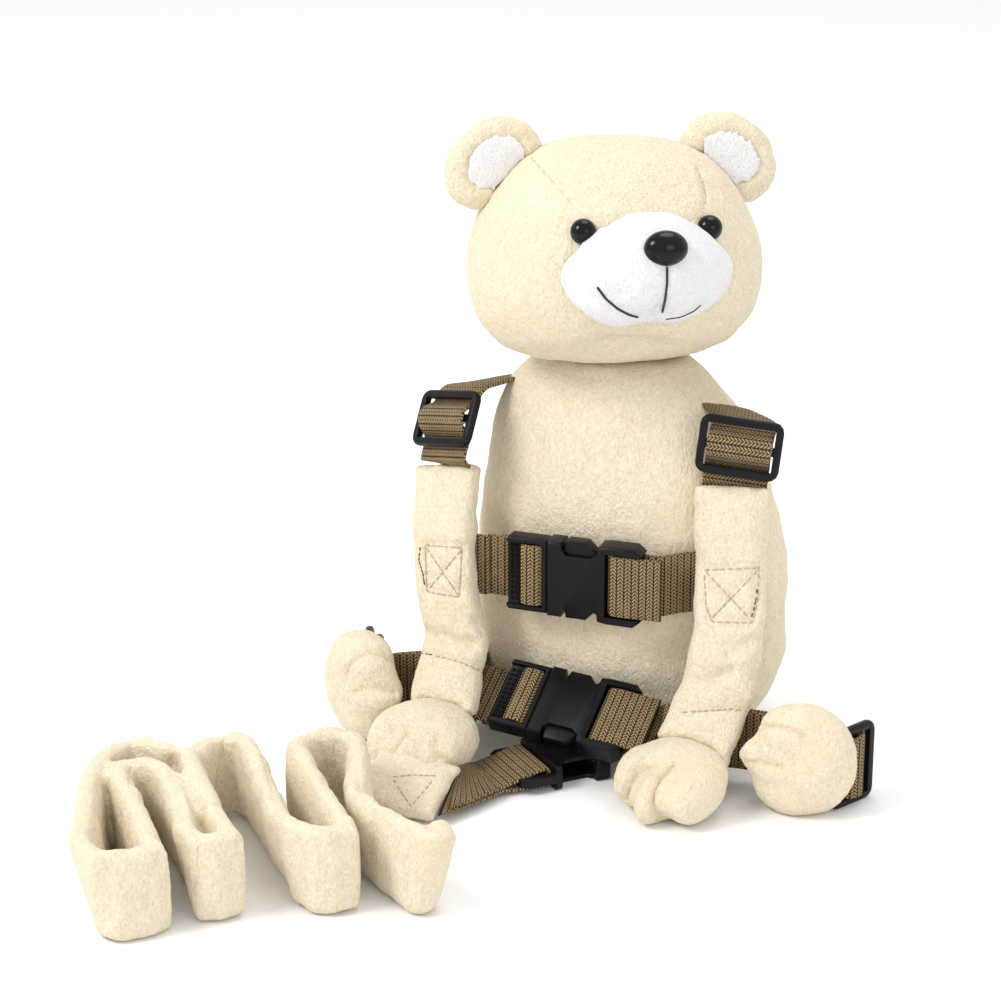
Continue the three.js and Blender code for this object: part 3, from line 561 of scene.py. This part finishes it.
def sew(name, lines, material, length=2.4 * MM, gap=1.0 * MM, radius=0.32 * MM, reach=1.0):
    """A run of stitches along each line. With a reach over 1 they overlap, as in embroidery."""
    corners, faces = [], []
    for line in lines:
        walked, start = 0.0, 0
        for i in range(1, len(line)):
            walked += (line[i][0] - line[i - 1][0]).length
            if walked >= length:
                (a, out), (b, _) = line[start], line[i]
                ahead = (b - a).normalized()
                middle = (a + b) / 2 + out * radius * PROUD
                more, quads = bead(middle, ahead, out, length * reach, radius)
                faces += [tuple(k + len(corners) for k in face) for face in quads]
                corners += more
                while i + 1 < len(line) and (line[i][0] - b).length < gap:
                    i += 1
                walked, start = 0.0, i
    return mesh_piece(name, corners, faces, material)


# %% [markdown]
# The arms carry the webbing inside them, so each has a square of stitches with a cross in it at the
# height of the chest strap. Each line is traced on the plush, the skin is pressed in along it, and then
# the line is traced again, so that the stitches lie in the dip.

# %% Squares on the arms
ARM_SEAMS = {
    "right": [
        [(425, 545), (462, 548), (459, 597), (427, 592), (425, 545)],
        [(426, 547), (458, 595)],
        [(461, 550), (428, 590)],
    ],
    "left": [
        [(704, 570), (759, 568), (758, 600), (752, 623), (712, 622), (706, 606), (704, 570)],
        [(706, 572), (751, 620)],
        [(757, 571), (711, 619)],
    ],
}

stitches = []
for side, seams in ARM_SEAMS.items():
    for line in traced(arms[side], seams):
        press(arms[side], line, width=2.2 * MM, depth=0.9 * MM)
    lines = traced(arms[side], seams)
    stitches.append(sew(f"stitches_arm_{side}", lines, seam_thread))
    print("arm", side, "seam points", sum(len(line) for line in lines))

# %% [markdown]
# The forehead has a seam on each side, where its pieces of plush meet: a narrow valley with short
# stitches on its ground. The chin is drawn in by a wide soft dip, where the head rests on the body.

# %% Forehead and chin
FOREHEAD_SEAMS = [
    [(531, 158), (548, 176), (563, 193), (574, 207)],
    [(697, 168), (703, 182), (706, 196), (705, 208)],
]
CHIN = [(612, 352), (628, 351), (646, 352)]

for line in traced(head, FOREHEAD_SEAMS):
    press(head, line, width=0.9 * MM, depth=1.2 * MM, sharp=True)
lines = traced(head, FOREHEAD_SEAMS)
fine = dict(length=1.6 * MM, gap=0, radius=0.16 * MM, reach=1.1)
stitches.append(sew("stitches_forehead", lines, seam_thread, **fine))
press(head, trace(head, CHIN), width=10 * MM, depth=6 * MM)
print("forehead seam points", sum(len(line) for line in lines))

# %% [markdown]
# A seam closes each arm across the cuff, above the paw, and the slack plush beside it lies in folds. The
# seam is a sharp valley. Each fold is a soft one with its own width and depth.

# %% Cuffs and folds of the arms
CUFF_SEAMS = {
    "right": [[(418, 653), (433, 655), (460, 662), (486, 673)]],
    "left": [[(682, 712), (703, 711), (730, 709), (744, 711)]],
}
# The folds' lines in the picture, with their width and depth in mm
ARM_FOLDS = {
    "right": [
        ([(424, 634), (442, 638), (457, 645), (476, 645)], 3.0, 3.0),
        ([(478, 622), (484, 632)], 2.5, 1.2),
    ],
    "left": [
        ([(695, 682), (715, 681), (732, 671)], 2.6, 1.7),
        ([(698, 668), (708, 672), (716, 680)], 1.8, 1.0),
        ([(728, 655), (740, 648), (752, 640)], 2.4, 1.2),
        ([(702, 640), (706, 650)], 2.0, 0.9),
    ],
}

for side, arm in arms.items():
    for line in traced(arm, CUFF_SEAMS[side]):
        press(arm, line, width=1.6 * MM, depth=1.5 * MM, sharp=True)
    for pixels, width, depth in ARM_FOLDS[side]:
        press(arm, trace(arm, pixels), width * MM, depth * MM)
    print("arm", side, "folds", len(ARM_FOLDS[side]))

# %% [markdown]
# Each paw has three toes. Thread pulls the plush in between them, which leaves two sharp valleys from
# the paw's front edge up its back.

# %% Toes
# For each paw, the valleys' width and depth in mm, and their lines in the picture
TOE_VALLEYS = {
    "hand_right": (2.4, 3.6, [
        [(384, 768), (386, 760), (391, 748), (398, 737), (407, 727)],
        [(438, 760), (433, 750), (432, 742), (436, 732)],
    ]),
    "hand_left": (2.8, 4.6, [
        [(627, 816), (623, 806), (623, 795), (629, 781), (638, 770), (649, 761)],
        [(664, 828), (658, 814), (655, 800), (656, 785), (662, 770), (673, 759)],
    ]),
    "foot_right": (1.7, 2.2, [
        [(398, 664), (386, 655), (370, 652), (355, 658), (346, 668), (344, 680)],
        [(397, 692), (382, 688), (366, 689), (352, 692)],
    ]),
    "foot_left": (2.0, 2.6, [
        [(755, 727), (768, 725), (782, 726), (797, 733), (806, 739)],
        [(744, 764), (757, 763), (770, 766), (782, 768)],
    ]),
}

for name, (width, depth, valleys) in TOE_VALLEYS.items():
    for pixels in valleys:
        press(paws[name], trace(paws[name], pixels), width * MM, depth * MM, sharp=True)
    print(name, "valleys", len(valleys))

# %% [markdown]
# The tether's padding has creases down its sides, at and beside its bends. Its end flap is sewn down on
# the webbing with a triangle of stitches.

# %% Tether and end flap
TETHER_CREASES = [
    [(131, 735), (133, 760), (131, 790)],
    [(170, 760), (177, 790), (180, 820)],
    [(196, 832), (197, 858), (194, 885)],
    [(224, 738), (222, 760), (220, 790)],
    [(262, 748), (270, 775), (276, 800)],
    [(322, 735), (326, 760), (325, 785)],
    [(352, 760), (362, 790), (372, 812)],
    [(408, 850), (406, 870), (402, 890)],
]
FLAP_SEAMS = [[(392, 777), (412, 775), (436, 776), (425, 790), (411, 806), (401, 792), (392, 777)]]

for pixels in TETHER_CREASES:
    press(tether, trace(tether, pixels), width=2.2 * MM, depth=1.5 * MM, sharp=True)
for line in traced(flap, FLAP_SEAMS):
    press(flap, line, width=1.8 * MM, depth=0.6 * MM)
stitches.append(sew("stitches_flap", traced(flap, FLAP_SEAMS), seam_thread, length=2 * MM))
print("tether creases", len(TETHER_CREASES))

# %% [markdown]
# The cuffs are sewn when their folds are in place. At the sides of the squares and of the right cuff the
# brown thread from below comes through, in short coarse stitches.

# %% Cuff stitches and brown thread
BROWN = {
    "right": [[(420, 547), (419, 560), (423, 574), (425, 588)], [(418, 653), (428, 654), (434, 655)]],
    "left": [[(757, 588), (756, 598), (754, 608), (751, 618)]],
}

for side in ("left", "right"):
    lines = traced(arms[side], CUFF_SEAMS[side])
    stitches.append(sew(f"stitches_cuff_{side}", lines, seam_thread, length=2 * MM))
    lines = traced(arms[side], BROWN[side])
    coarse = dict(length=1.6 * MM, gap=0.8 * MM)
    stitches.append(sew(f"stitches_brown_{side}", lines, brown_thread, **coarse))
print("stitched:", [piece.name for piece in stitches])

# %% [markdown]
# The muzzle is a separate pouch of white plush. The near cheek is filled out first. Then the embroidered
# line from the nose and the two halves of the smile pull the plush in, and a valley below the line parts
# the cheeks. The far half of the smile is seen from its side, so its thread is thinner.

# %% Smile
CHEEK = [(582, 299), (591, 307), (602, 314), (614, 319)]
PHILTRUM = [[(667, 268), (667, 284), (665, 300), (662, 314)]]
SMILE = [[(598, 288), (606, 299), (618, 309), (630, 315), (641, 318)]]
SMILE_FAR = [[(667, 319), (681, 317), (694, 311), (703, 303)]]
CLEFT = [(660, 312), (654, 322), (650, 330)]

press(muzzle, trace(muzzle, CHEEK), width=6 * MM, depth=-2.8 * MM)
for line in traced(muzzle, PHILTRUM + SMILE + SMILE_FAR):
    press(muzzle, line, width=2.4 * MM, depth=0.8 * MM)
press(muzzle, trace(muzzle, CLEFT), width=4 * MM, depth=3.2 * MM, sharp=True)
mouth = traced(muzzle, PHILTRUM + SMILE)
embroidery = dict(length=1.0 * MM, gap=0, reach=2.6)
smile = sew("smile_thread_line", mouth, smile_thread, radius=0.55 * MM, **embroidery)
far_mouth = traced(muzzle, SMILE_FAR)
far_smile = sew("smile_thread_far", far_mouth, smile_thread, radius=0.3 * MM, **embroidery)
print("smile points", sum(len(line) for line in mouth + far_mouth))

# %% [markdown]
# The pile gets its own fine unevenness last, after all the seams. The pieces that lie on the floor are
# then held just above it, as their own weight would flatten them there.

# %% Pile and floor
for piece in (torso, head, tether, flap, *arms.values(), *paws.values(), ears["left"], ears["right"]):
    ruffle(piece, 1.9 * MM, 0.2 * MM, shift=5)
for piece in (muzzle, ears["inner_left"], ears["inner_right"]):
    ruffle(piece, 1.7 * MM, 0.12 * MM, shift=9)
FLOOR_GAP = 0.02 * MM
for piece in (torso, tether, flap, *paws.values()):
    rested = points_of(piece)
    rested[:, 2] = np.maximum(rested[:, 2], FLOOR_GAP)
    set_points(piece, rested)

# %% [markdown]
# Each soft piece now takes the place of its CAD node, which is hidden. The stitches are new pieces.

# %% Handing the soft pieces over
settle(torso, "cream_plush", "torso")
settle(head, "cream_plush", "head")
settle(muzzle, "white_plush", "muzzle")
for side in ("left", "right"):
    settle(ears[side], "cream_plush", f"ear_{side}")
    settle(ears[f"inner_{side}"], "white_plush", f"inner_ear_{side}")
    settle(arms[side], "cream_plush", f"arm_{side}")
for name, paw in paws.items():
    settle(paw, "cream_plush", name)
settle(tether, "cream_plush", "tether_strap")
settle(flap, "cream_plush", "tether_end_flap")
for piece in stitches:
    settle(piece, "cream_plush")
settle(smile, "gloss_black")
settle(far_smile, "gloss_black")

# %% [markdown]
# ## Eyes and nose
#
# The eyes are polished domes on short pins, and the nose is a moulded oval. Each is a sphere with its
# pole to the front, scaled and turned with the head, and pressed a little into the plush.

# %% Eyes and nose
HEAD_CENTRE = BEAR + Vector((-8, -5, 195.5)) * MM
HEAD_TURN = (
    Matrix.Rotation(math.radians(34), 4, "Z")
    @ Matrix.Rotation(math.radians(2), 4, "Y")
    @ Matrix.Rotation(math.radians(-15), 4, "X")
)
FACE = (
    ("eye_left", (24.6, -44.6, 6.5), (4.9, 4.6, 4.9)),
    ("eye_right", (-24.6, -44.6, 6.5), (4.9, 4.6, 4.9)),
    ("nose", (1.2, -64.4, -0.5), (8.4, 5.8, 6.6)),
)
for node, place, radii in FACE:
    bpy.ops.object.select_all(action="DESELECT")
    bpy.ops.mesh.primitive_uv_sphere_add(segments=48, ring_count=24, radius=1)
    dome = bpy.context.active_object
    dome.name = f"polished_{node}"
    scale = Matrix.Diagonal((*(r * MM for r in radii), 1))
    spot = Matrix.Translation(HEAD_CENTRE) @ HEAD_TURN @ Matrix.Translation(Vector(place) * MM)
    dome.data.transform(spot @ scale @ Matrix.Rotation(math.radians(90), 4, "X"))
    dome.data.materials.append(polished)
    bpy.ops.object.shade_smooth()
    settle(dome, "gloss_black", node)

# %% [markdown]
# ## Webbing straps
#
# Each strap is 25 mm wide and 1.6 mm thick, and it is laid along its real route: out of the plush,
# through the slots of its slider or buckle, and back. The table gives the route's points in millimetres
# and the direction across the strap at each. A smooth curve runs through the points, and a section with
# rounded edges follows it, with a UV map in metres for the weave.

# %% Webbing routes
ROUTES = {
    "shoulder_webbing_left": [
        (48.3, 113.5, 132.2, 0.74, 0.58, -0.33),
        (52.4, 108.4, 134.1, 0.79, 0.54, -0.30),
        (56.4, 103.3, 135.2, 0.83, 0.49, -0.28),
        (60.3, 98.3, 135.8, 0.86, 0.44, -0.25),
        (63.6, 94.6, 135.9, 0.91, 0.36, -0.20),
        (66.9, 91.0, 135.8, 0.95, 0.28, -0.15),
        (69.6, 87.4, 135.4, 0.98, 0.19, -0.10),
        (70.3, 83.6, 134.6, 0.98, 0.19, -0.10),
        (70.4, 80.6, 133.4, 0.98, 0.19, -0.10),
        (71.2, 74.6, 131.2, 0.98, 0.19, -0.10),
        (70.8, 73.7, 126.3, 0.98, 0.19, -0.10),
        (69.3, 78.1, 120.6, 0.98, 0.19, -0.10),
        (68.9, 77.4, 115.1, 0.98, 0.19, -0.10),
        (68.7, 77.1, 112.4, 0.98, 0.19, -0.10),
        (68.9, 76.5, 112.5, 0.98, 0.21, 0.00),
    ],
    "chest_webbing_left": [
        (46.9, 54.8, 74.0, 0.00, 0.00, 1.00),
        (26.5, 54.8, 74.0, 0.00, 0.00, 1.00),
        (26.5, 60.4, 74.0, 0.00, 0.00, 1.00),
        (44.9, 60.4, 74.0, 0.00, 0.00, 1.00),
        (48.0, 63.4, 74.0, 0.00, 0.00, 1.00),
        (51.0, 66.5, 74.0, 0.00, 0.00, 1.00),
        (54.9, 69.1, 74.0, 0.00, 0.00, 1.00),
        (63.1, 71.8, 74.0, 0.00, 0.00, 1.00),
        (73.1, 73.6, 74.0, 0.00, 0.00, 1.00),
        (83.0, 75.4, 74.0, 0.00, 0.00, 1.00),
    ],
    "waist_webbing_left": [
        (47.4, 42.6, 22.8, 0.08, 0.84, 0.53),
        (27.0, 43.4, 24.4, 0.08, 0.84, 0.53),
        (26.8, 46.4, 19.7, 0.08, 0.84, 0.53),
        (45.1, 45.7, 18.2, 0.08, 0.84, 0.53),
        (48.9, 46.2, 18.1, 0.06, 0.63, 0.77),
        (52.6, 46.8, 18.1, 0.03, 0.32, 0.95),
        (56.6, 47.5, 18.0, 0.00, 0.00, 1.00),
        (62.1, 49.2, 18.0, 0.00, 0.00, 1.00),
        (67.9, 51.2, 18.0, 0.00, 0.00, 1.00),
        (73.8, 52.5, 18.0, 0.00, 0.00, 1.00),
        (79.9, 53.0, 18.1, 0.00, 0.00, 1.00),
        (86.1, 52.7, 18.1, 0.00, 0.00, 1.00),
        (92.5, 51.5, 18.0, 0.00, 0.00, 1.00),
        (100.4, 48.4, 17.5, 0.00, 0.00, 1.00),
        (108.6, 43.9, 16.8, 0.00, 0.00, 1.00),
        (116.8, 39.5, 16.1, 0.00, 0.00, 1.00),
        (119.4, 44.3, 16.1, 0.00, 0.00, 1.00),
        (126.7, 46.0, 16.1, 0.00, 0.00, 1.00),
        (129.0, 50.4, 16.1, 0.00, 0.00, 1.00),
        (126.4, 57.3, 16.1, 0.00, 0.00, 1.00),
        (125.7, 58.3, 16.1, 0.00, 0.00, 1.00),
        (124.2, 57.4, 16.1, 0.00, 0.00, 1.00),
        (122.4, 53.9, 16.1, 0.00, 0.00, 1.00),
        (115.0, 40.5, 16.1, 0.00, 0.00, 1.00),
        (107.5, 45.5, 16.8, 0.00, 0.00, 1.00),
        (99.9, 50.6, 17.5, 0.00, 0.00, 1.00),
        (92.5, 54.2, 18.0, 0.00, 0.00, 1.00),
        (85.7, 54.6, 18.1, 0.00, 0.00, 1.00),
        (79.0, 54.0, 18.1, 0.00, 0.00, 1.00),
        (73.8, 55.6, 18.0, 0.00, 0.00, 1.00),
        (71.2, 64.8, 18.0, 0.00, 0.00, 1.00),
        (71.4, 77.9, 18.0, 0.00, 0.00, 1.00),
        (70.1, 88.5, 18.0, 0.00, 0.00, 1.00),
        (67.7, 92.1, 18.0, 0.00, 0.00, 1.00),
        (64.7, 94.7, 18.0, 0.00, 0.00, 1.00),
        (61.8, 97.4, 18.0, 0.00, 0.00, 1.00),
    ],
    "shoulder_webbing_right": [
        (-28.5, 115.5, 136.0, 0.86, -0.38, 0.33),
        (-31.2, 109.4, 136.5, 0.87, -0.38, 0.31),
        (-33.8, 103.4, 136.9, 0.87, -0.39, 0.30),
        (-36.4, 97.5, 137.3, 0.88, -0.39, 0.28),
        (-38.6, 92.4, 137.7, 0.88, -0.40, 0.26),
        (-40.8, 87.6, 138.1, 0.88, -0.41, 0.23),
        (-42.9, 82.7, 138.4, 0.89, -0.41, 0.21),
        (-44.4, 78.6, 136.7, 0.89, -0.41, 0.21),
        (-44.9, 75.8, 133.7, 0.89, -0.41, 0.21),
        (-47.8, 69.1, 132.4, 0.89, -0.41, 0.21),
        (-48.0, 66.4, 128.2, 0.89, -0.41, 0.21),
        (-45.7, 67.9, 121.2, 0.89, -0.41, 0.21),
        (-45.9, 65.1, 116.5, 0.89, -0.41, 0.21),
        (-45.9, 63.8, 114.0, 0.89, -0.41, 0.21),
        (-46.2, 69.5, 110.3, 0.96, -0.28, 0.00),
    ],
    "chest_webbing_right": [
        (-54.0, 67.7, 74.0, 0.00, 0.00, 1.00),
        (-43.6, 63.9, 74.0, 0.00, 0.00, 1.00),
        (-33.1, 60.1, 74.0, 0.00, 0.00, 1.00),
        (-26.6, 58.8, 74.0, 0.00, 0.00, 1.00),
        (-25.9, 59.2, 74.0, 0.00, 0.00, 1.00),
        (-25.6, 59.8, 74.0, 0.00, 0.00, 1.00),
        (-25.2, 60.4, 74.0, 0.00, 0.00, 1.00),
        (-19.2, 60.4, 74.0, 0.00, 0.00, 1.00),
        (-9.5, 60.4, 74.0, 0.00, 0.00, 1.00),
        (-9.5, 54.8, 74.0, 0.00, 0.00, 1.00),
        (-2.8, 54.8, 74.0, 0.00, 0.00, 1.00),
        (-2.8, 62.3, 74.0, 0.00, 0.00, 1.00),
        (-20.2, 62.3, 74.0, 0.00, 0.00, 1.00),
    ],
    "waist_webbing_right": [
        (-19.8, 49.3, 21.9, 0.08, 0.84, 0.53),
        (-2.5, 48.6, 20.5, 0.08, 0.84, 0.53),
        (-2.2, 44.6, 26.8, 0.08, 0.84, 0.53),
        (-8.8, 44.9, 27.4, 0.08, 0.84, 0.53),
        (-9.1, 47.9, 22.6, 0.08, 0.84, 0.53),
        (-18.7, 48.3, 23.4, 0.08, 0.84, 0.53),
        (-24.7, 48.5, 23.9, 0.08, 0.84, 0.53),
        (-26.4, 51.3, 21.7, 0.06, 0.63, 0.77),
        (-28.1, 54.1, 19.5, 0.03, 0.32, 0.95),
        (-30.4, 56.5, 18.0, 0.00, 0.00, 1.00),
        (-33.7, 58.7, 17.5, 0.00, 0.00, 1.00),
        (-37.7, 60.6, 17.8, 0.00, 0.00, 1.00),
        (-41.8, 62.0, 18.0, 0.00, 0.00, 1.00),
        (-45.4, 62.9, 18.0, 0.00, 0.00, 1.00),
        (-49.1, 63.4, 18.1, 0.00, 0.00, 1.00),
        (-53.1, 63.5, 18.0, 0.00, 0.00, 1.00),
        (-59.1, 63.2, 17.5, 0.00, 0.00, 1.00),
        (-65.6, 62.3, 16.8, 0.00, 0.00, 1.00),
        (-72.1, 61.5, 16.1, 0.00, 0.00, 1.00),
        (-74.7, 66.3, 16.1, 0.00, 0.00, 1.00),
        (-81.9, 68.0, 16.1, 0.00, 0.00, 1.00),
        (-84.3, 72.4, 16.1, 0.00, 0.00, 1.00),
        (-81.7, 79.4, 16.1, 0.00, 0.00, 1.00),
        (-81.0, 80.3, 16.1, 0.00, 0.00, 1.00),
        (-79.5, 79.4, 16.1, 0.00, 0.00, 1.00),
        (-77.7, 75.9, 16.1, 0.00, 0.00, 1.00),
        (-70.3, 62.5, 16.1, 0.00, 0.00, 1.00),
        (-64.4, 63.9, 16.8, 0.00, 0.00, 1.00),
        (-58.6, 65.4, 17.5, 0.00, 0.00, 1.00),
        (-53.1, 66.2, 18.0, 0.00, 0.00, 1.00),
        (-49.1, 65.6, 18.1, 0.00, 0.00, 1.00),
        (-45.2, 64.6, 18.1, 0.00, 0.00, 1.00),
        (-41.8, 65.1, 18.0, 0.00, 0.00, 1.00),
        (-37.8, 71.1, 18.0, 0.00, 0.00, 1.00),
        (-34.7, 80.5, 18.0, 0.00, 0.00, 1.00),
        (-31.4, 88.5, 18.0, 0.00, 0.00, 1.00),
        (-28.7, 91.9, 18.0, 0.00, 0.00, 1.00),
        (-25.9, 94.6, 18.0, 0.00, 0.00, 1.00),
        (-23.1, 97.4, 18.0, 0.00, 0.00, 1.00),
    ],
    "tether_webbing": [
        (-15.6, -12.0, 8.0, 0.08, -0.96, -0.27),
        (-14.6, -7.2, 7.1, 0.19, -0.95, -0.23),
        (-13.6, -2.5, 6.2, 0.31, -0.93, -0.19),
        (-12.6, 2.2, 5.3, 0.43, -0.89, -0.15),
        (-11.6, 7.0, 4.5, 0.54, -0.84, -0.10),
        (-10.5, 11.7, 3.6, 0.64, -0.77, -0.05),
        (-9.5, 16.5, 2.7, 0.72, -0.69, 0.00),
        (-5.3, 20.8, 2.1, 0.72, -0.69, 0.00),
        (4.0, 30.5, 2.1, 0.72, -0.69, 0.00),
        (4.0, 30.5, 7.7, 0.72, -0.69, 0.00),
        (-5.3, 20.8, 5.6, 0.72, -0.69, 0.00),
        (-9.5, 16.5, 4.5, 0.72, -0.69, 0.00),
        (-10.5, 11.7, 5.4, 0.64, -0.77, -0.05),
        (-11.6, 7.0, 6.3, 0.54, -0.84, -0.10),
        (-12.6, 2.2, 7.1, 0.43, -0.89, -0.15),
        (-13.6, -2.5, 8.0, 0.31, -0.93, -0.19),
        (-14.6, -7.2, 8.9, 0.19, -0.95, -0.23),
    ],
}
WEB_HALF = 12.5 * MM
WEB_THICK = 1.6 * MM
WEB_STEP = 1.3 * MM
# Half of the section's corners, as shares of the half width and the half thickness
WEB_TOP = [(-1, 0), (-0.985, 0.75), (-0.94, 1), (-0.5, 1), (0, 1), (0.5, 1), (0.94, 1), (0.985, 0.75)]
WEB_SECTION = WEB_TOP + [(-w, -t) for w, t in WEB_TOP]


# %% Laying a strap along its route
def smooth_route(rows):
    """Points and directions across, WEB_STEP apart, on a curve through the rows."""
    points = [Vector(row[:3]) * MM for row in rows]
    across = [Vector(row[3:]).normalized() for row in rows]
    ends = [2 * points[0] - points[1], *points, 2 * points[-1] - points[-2]]
    out = []
    for i in range(len(points) - 1):
        a, b, c, d = ends[i : i + 4]
        reach = [max((q - p).length, 1e-6) ** 0.5 for p, q in ((a, b), (b, c), (c, d))]
        into = (b - a) / reach[0] - (c - a) / (reach[0] + reach[1]) + (c - b) / reach[1]
        away = (c - b) / reach[1] - (d - b) / (reach[1] + reach[2]) + (d - c) / reach[2]
        into, away = into * reach[1], away * reach[1]
        steps = max(2, round((c - b).length / WEB_STEP))
        for k in range(steps):
            t = k / steps
            place = (
                b * (2 * t**3 - 3 * t**2 + 1)
                + into * (t**3 - 2 * t**2 + t)
                + c * (3 * t**2 - 2 * t**3)
                + away * (t**3 - t**2)
            )
            out.append((place, across[i].lerp(across[i + 1], t).normalized()))
    out.append((points[-1], across[-1]))
    return out


def strap(name, rows):
    """A strap with rounded edges and a UV map in metres, u along it and v across it."""
    route = smooth_route(rows)
    count = len(WEB_SECTION)
    corners, faces, run = [], [], [0.0]
    for i, (place, side) in enumerate(route):
        before, after = route[max(i - 1, 0)][0], route[min(i + 1, len(route) - 1)][0]
        out = (after - before).cross(side).normalized()
        corners += [place + side * (w * WEB_HALF) + out * (t * WEB_THICK / 2) for w, t in WEB_SECTION]
        if i:
            run.append(run[-1] + (place - before).length)
            first = (i - 1) * count
            for k in range(count):
                n = (k + 1) % count
                faces.append((first + k, first + n, first + count + n, first + count + k))
    faces += [tuple(range(count - 1, -1, -1)), tuple(range(len(corners) - count, len(corners)))]
    made = mesh_piece(name, corners, faces, olive)
    chart = made.data.uv_layers.new(name="strap")
    for loop in made.data.loops:
        row, k = divmod(loop.vertex_index, count)
        chart.data[loop.index].uv = (run[row], WEB_SECTION[k][0] * WEB_HALF)
    return made, run[-1]


for node, rows in ROUTES.items():
    made, length = strap(f"woven_{node}", rows)
    settle(made, "webbing", node)
    print("  length in mm:", round(length * 1000))

# %% [markdown]
# ## Buckles and sliders
#
# The CAD model has the buckles and sliders with sharp edges. A moulded part has a small radius on every
# edge, which is what catches the light. So a copy of each is merged, its flat faces are joined, and its
# edges are bevelled by a third of a millimetre.

# %% Softened plastic
BEVEL = 0.35 * MM
FLAT = math.radians(0.6)
SHARP = math.radians(28)


def soften(node):
    """A copy of a CAD node with rounded edges, in nylon."""
    made = merged_copy(node, f"moulded_{node}")
    edit(made, lambda: bpy.ops.mesh.dissolve_limited(angle_limit=FLAT))
    apply(made, "BEVEL", width=BEVEL, segments=2, limit_method="ANGLE", angle_limit=SHARP)
    choose(made)
    bpy.ops.object.shade_smooth_by_angle(angle=math.radians(40))
    made.data.materials.append(nylon)
    return made


PLASTIC = [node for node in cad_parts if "buckle" in node or "slider" in node]
for node in sorted(PLASTIC):
    settle(soften(node), "black_plastic", node)

# %% [markdown]
# The outer bar of each ladder is knurled, so that it grips the webbing. The knurl is two rows of small
# pyramids along the bar, on the side that shows.

# %% Knurled bars
LADDER_BAR = 5 * MM
BAR_FACE = 1.7 * MM
PYRAMIDS = 11
# Where the two rows lie on the bar, as shares of its width, and how far both are moved along it
ROWS = (0.3, 0.7)
ROW_SHIFT = 0.1 * MM
# The rows' length, and half the width of a pyramid's foot and of its tip, in mm
ROW_LENGTH = 24
FOOT = 0.95
TIP = 0.3
# How far a pyramid is sunk into the bar, and how far it rises from it
SUNK = 0.2 * MM
RISE = 0.75 * MM
SQUARE = ((-1, -1), (1, -1), (1, 1), (-1, 1))


def knurl(name, origin, along, across):
    """Two rows of pyramids on the bar that starts at origin."""
    out = along.cross(across).normalized()
    across = out.cross(along).normalized()
    corners, faces = [], []
    for row in ROWS:
        for i in range(PYRAMIDS):
            shift = (i + 0.5) / PYRAMIDS - 0.5
            down = along * (LADDER_BAR * row + ROW_SHIFT)
            centre = origin + down + across * (shift * ROW_LENGTH * MM) + out * BAR_FACE
            base = len(corners)
            for a, b in SQUARE:
                corners.append(centre + along * (a * FOOT * MM) + across * (b * FOOT * MM) - out * SUNK)
            for a, b in SQUARE:
                corners.append(centre + along * (a * TIP * MM) + across * (b * TIP * MM) + out * RISE)
            faces.append((base + 3, base + 2, base + 1, base))
            faces.append((base + 4, base + 5, base + 6, base + 7))
            for k in range(4):
                n = (k + 1) % 4
                faces.append((base + k, base + n, base + 4 + n, base + 4 + k))
    made = mesh_piece(name, corners, faces, nylon)
    choose(made)
    bpy.ops.object.shade_flat()
    return made


BUCKLE_LENGTH = 55.1 * MM
low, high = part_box("chest_buckle_ladder")
chest_start = Vector((low.x, (low.y + high.y) / 2, (low.z + high.z) / 2))
waist_along = Vector((0.98, -0.04, -0.08)).normalized()
waist_start = BEAR + Vector((-7.5, -60, 23.3)) * MM - waist_along * (BUCKLE_LENGTH / 2)
settle(knurl("knurl_chest", chest_start, Vector((1, 0, 0)), Vector((0, 0, 1))), "black_plastic")
settle(knurl("knurl_waist", waist_start, waist_along, Vector((0.2, 0.83, 0.52))), "black_plastic")

# %% [markdown]
# ## Stage
#
# The photograph is taken on white, in soft light with hardly any shadow. A pale floor, a bright world and
# three large lamps give that: one from the upper left that models the shapes, one from the right that
# fills them, and one from above.

# %% Floor and light
bpy.ops.object.select_all(action="DESELECT")
bpy.ops.mesh.primitive_plane_add(size=12, location=(0, 0, 0))
floor = bpy.context.active_object
floor.name = "floor"
ground = bpy.data.materials.new("pale_floor")
ground.use_nodes = True
ground.node_tree.nodes["Principled BSDF"].inputs["Base Color"].default_value = (0.93, 0.93, 0.93, 1)
ground.node_tree.nodes["Principled BSDF"].inputs["Roughness"].default_value = 0.9
floor.data.materials.append(ground)

world = bpy.data.worlds.new("studio")
world.use_nodes = True
world.node_tree.nodes["Background"].inputs["Color"].default_value = (1, 1, 1, 1)
world.node_tree.nodes["Background"].inputs["Strength"].default_value = 0.92
bpy.context.scene.world = world

# Each lamp's name, place, diameter in metres and power in watts
LAMPS = (
    ("key", (-0.8, -0.75, 1.15), 0.6, 12),
    ("fill", (1.05, -0.75, 0.6), 0.7, 2),
    ("top", (0.1, 0.45, 1.35), 0.8, 5),
)
for name, place, size, watts in LAMPS:
    data = bpy.data.lights.new(name, "AREA")
    data.shape = "DISK"
    data.size = size
    data.energy = watts
    lamp = bpy.data.objects.new(name, data)
    lamp.location = place
    lamp.rotation_euler = (Vector((0, 0.05, 0.1)) - Vector(place)).to_track_quat("-Z", "Y").to_euler()
    bpy.context.scene.collection.objects.link(lamp)
bpy.context.scene.view_settings.view_transform = "Standard"
print("lamps:", [lamp[0] for lamp in LAMPS])
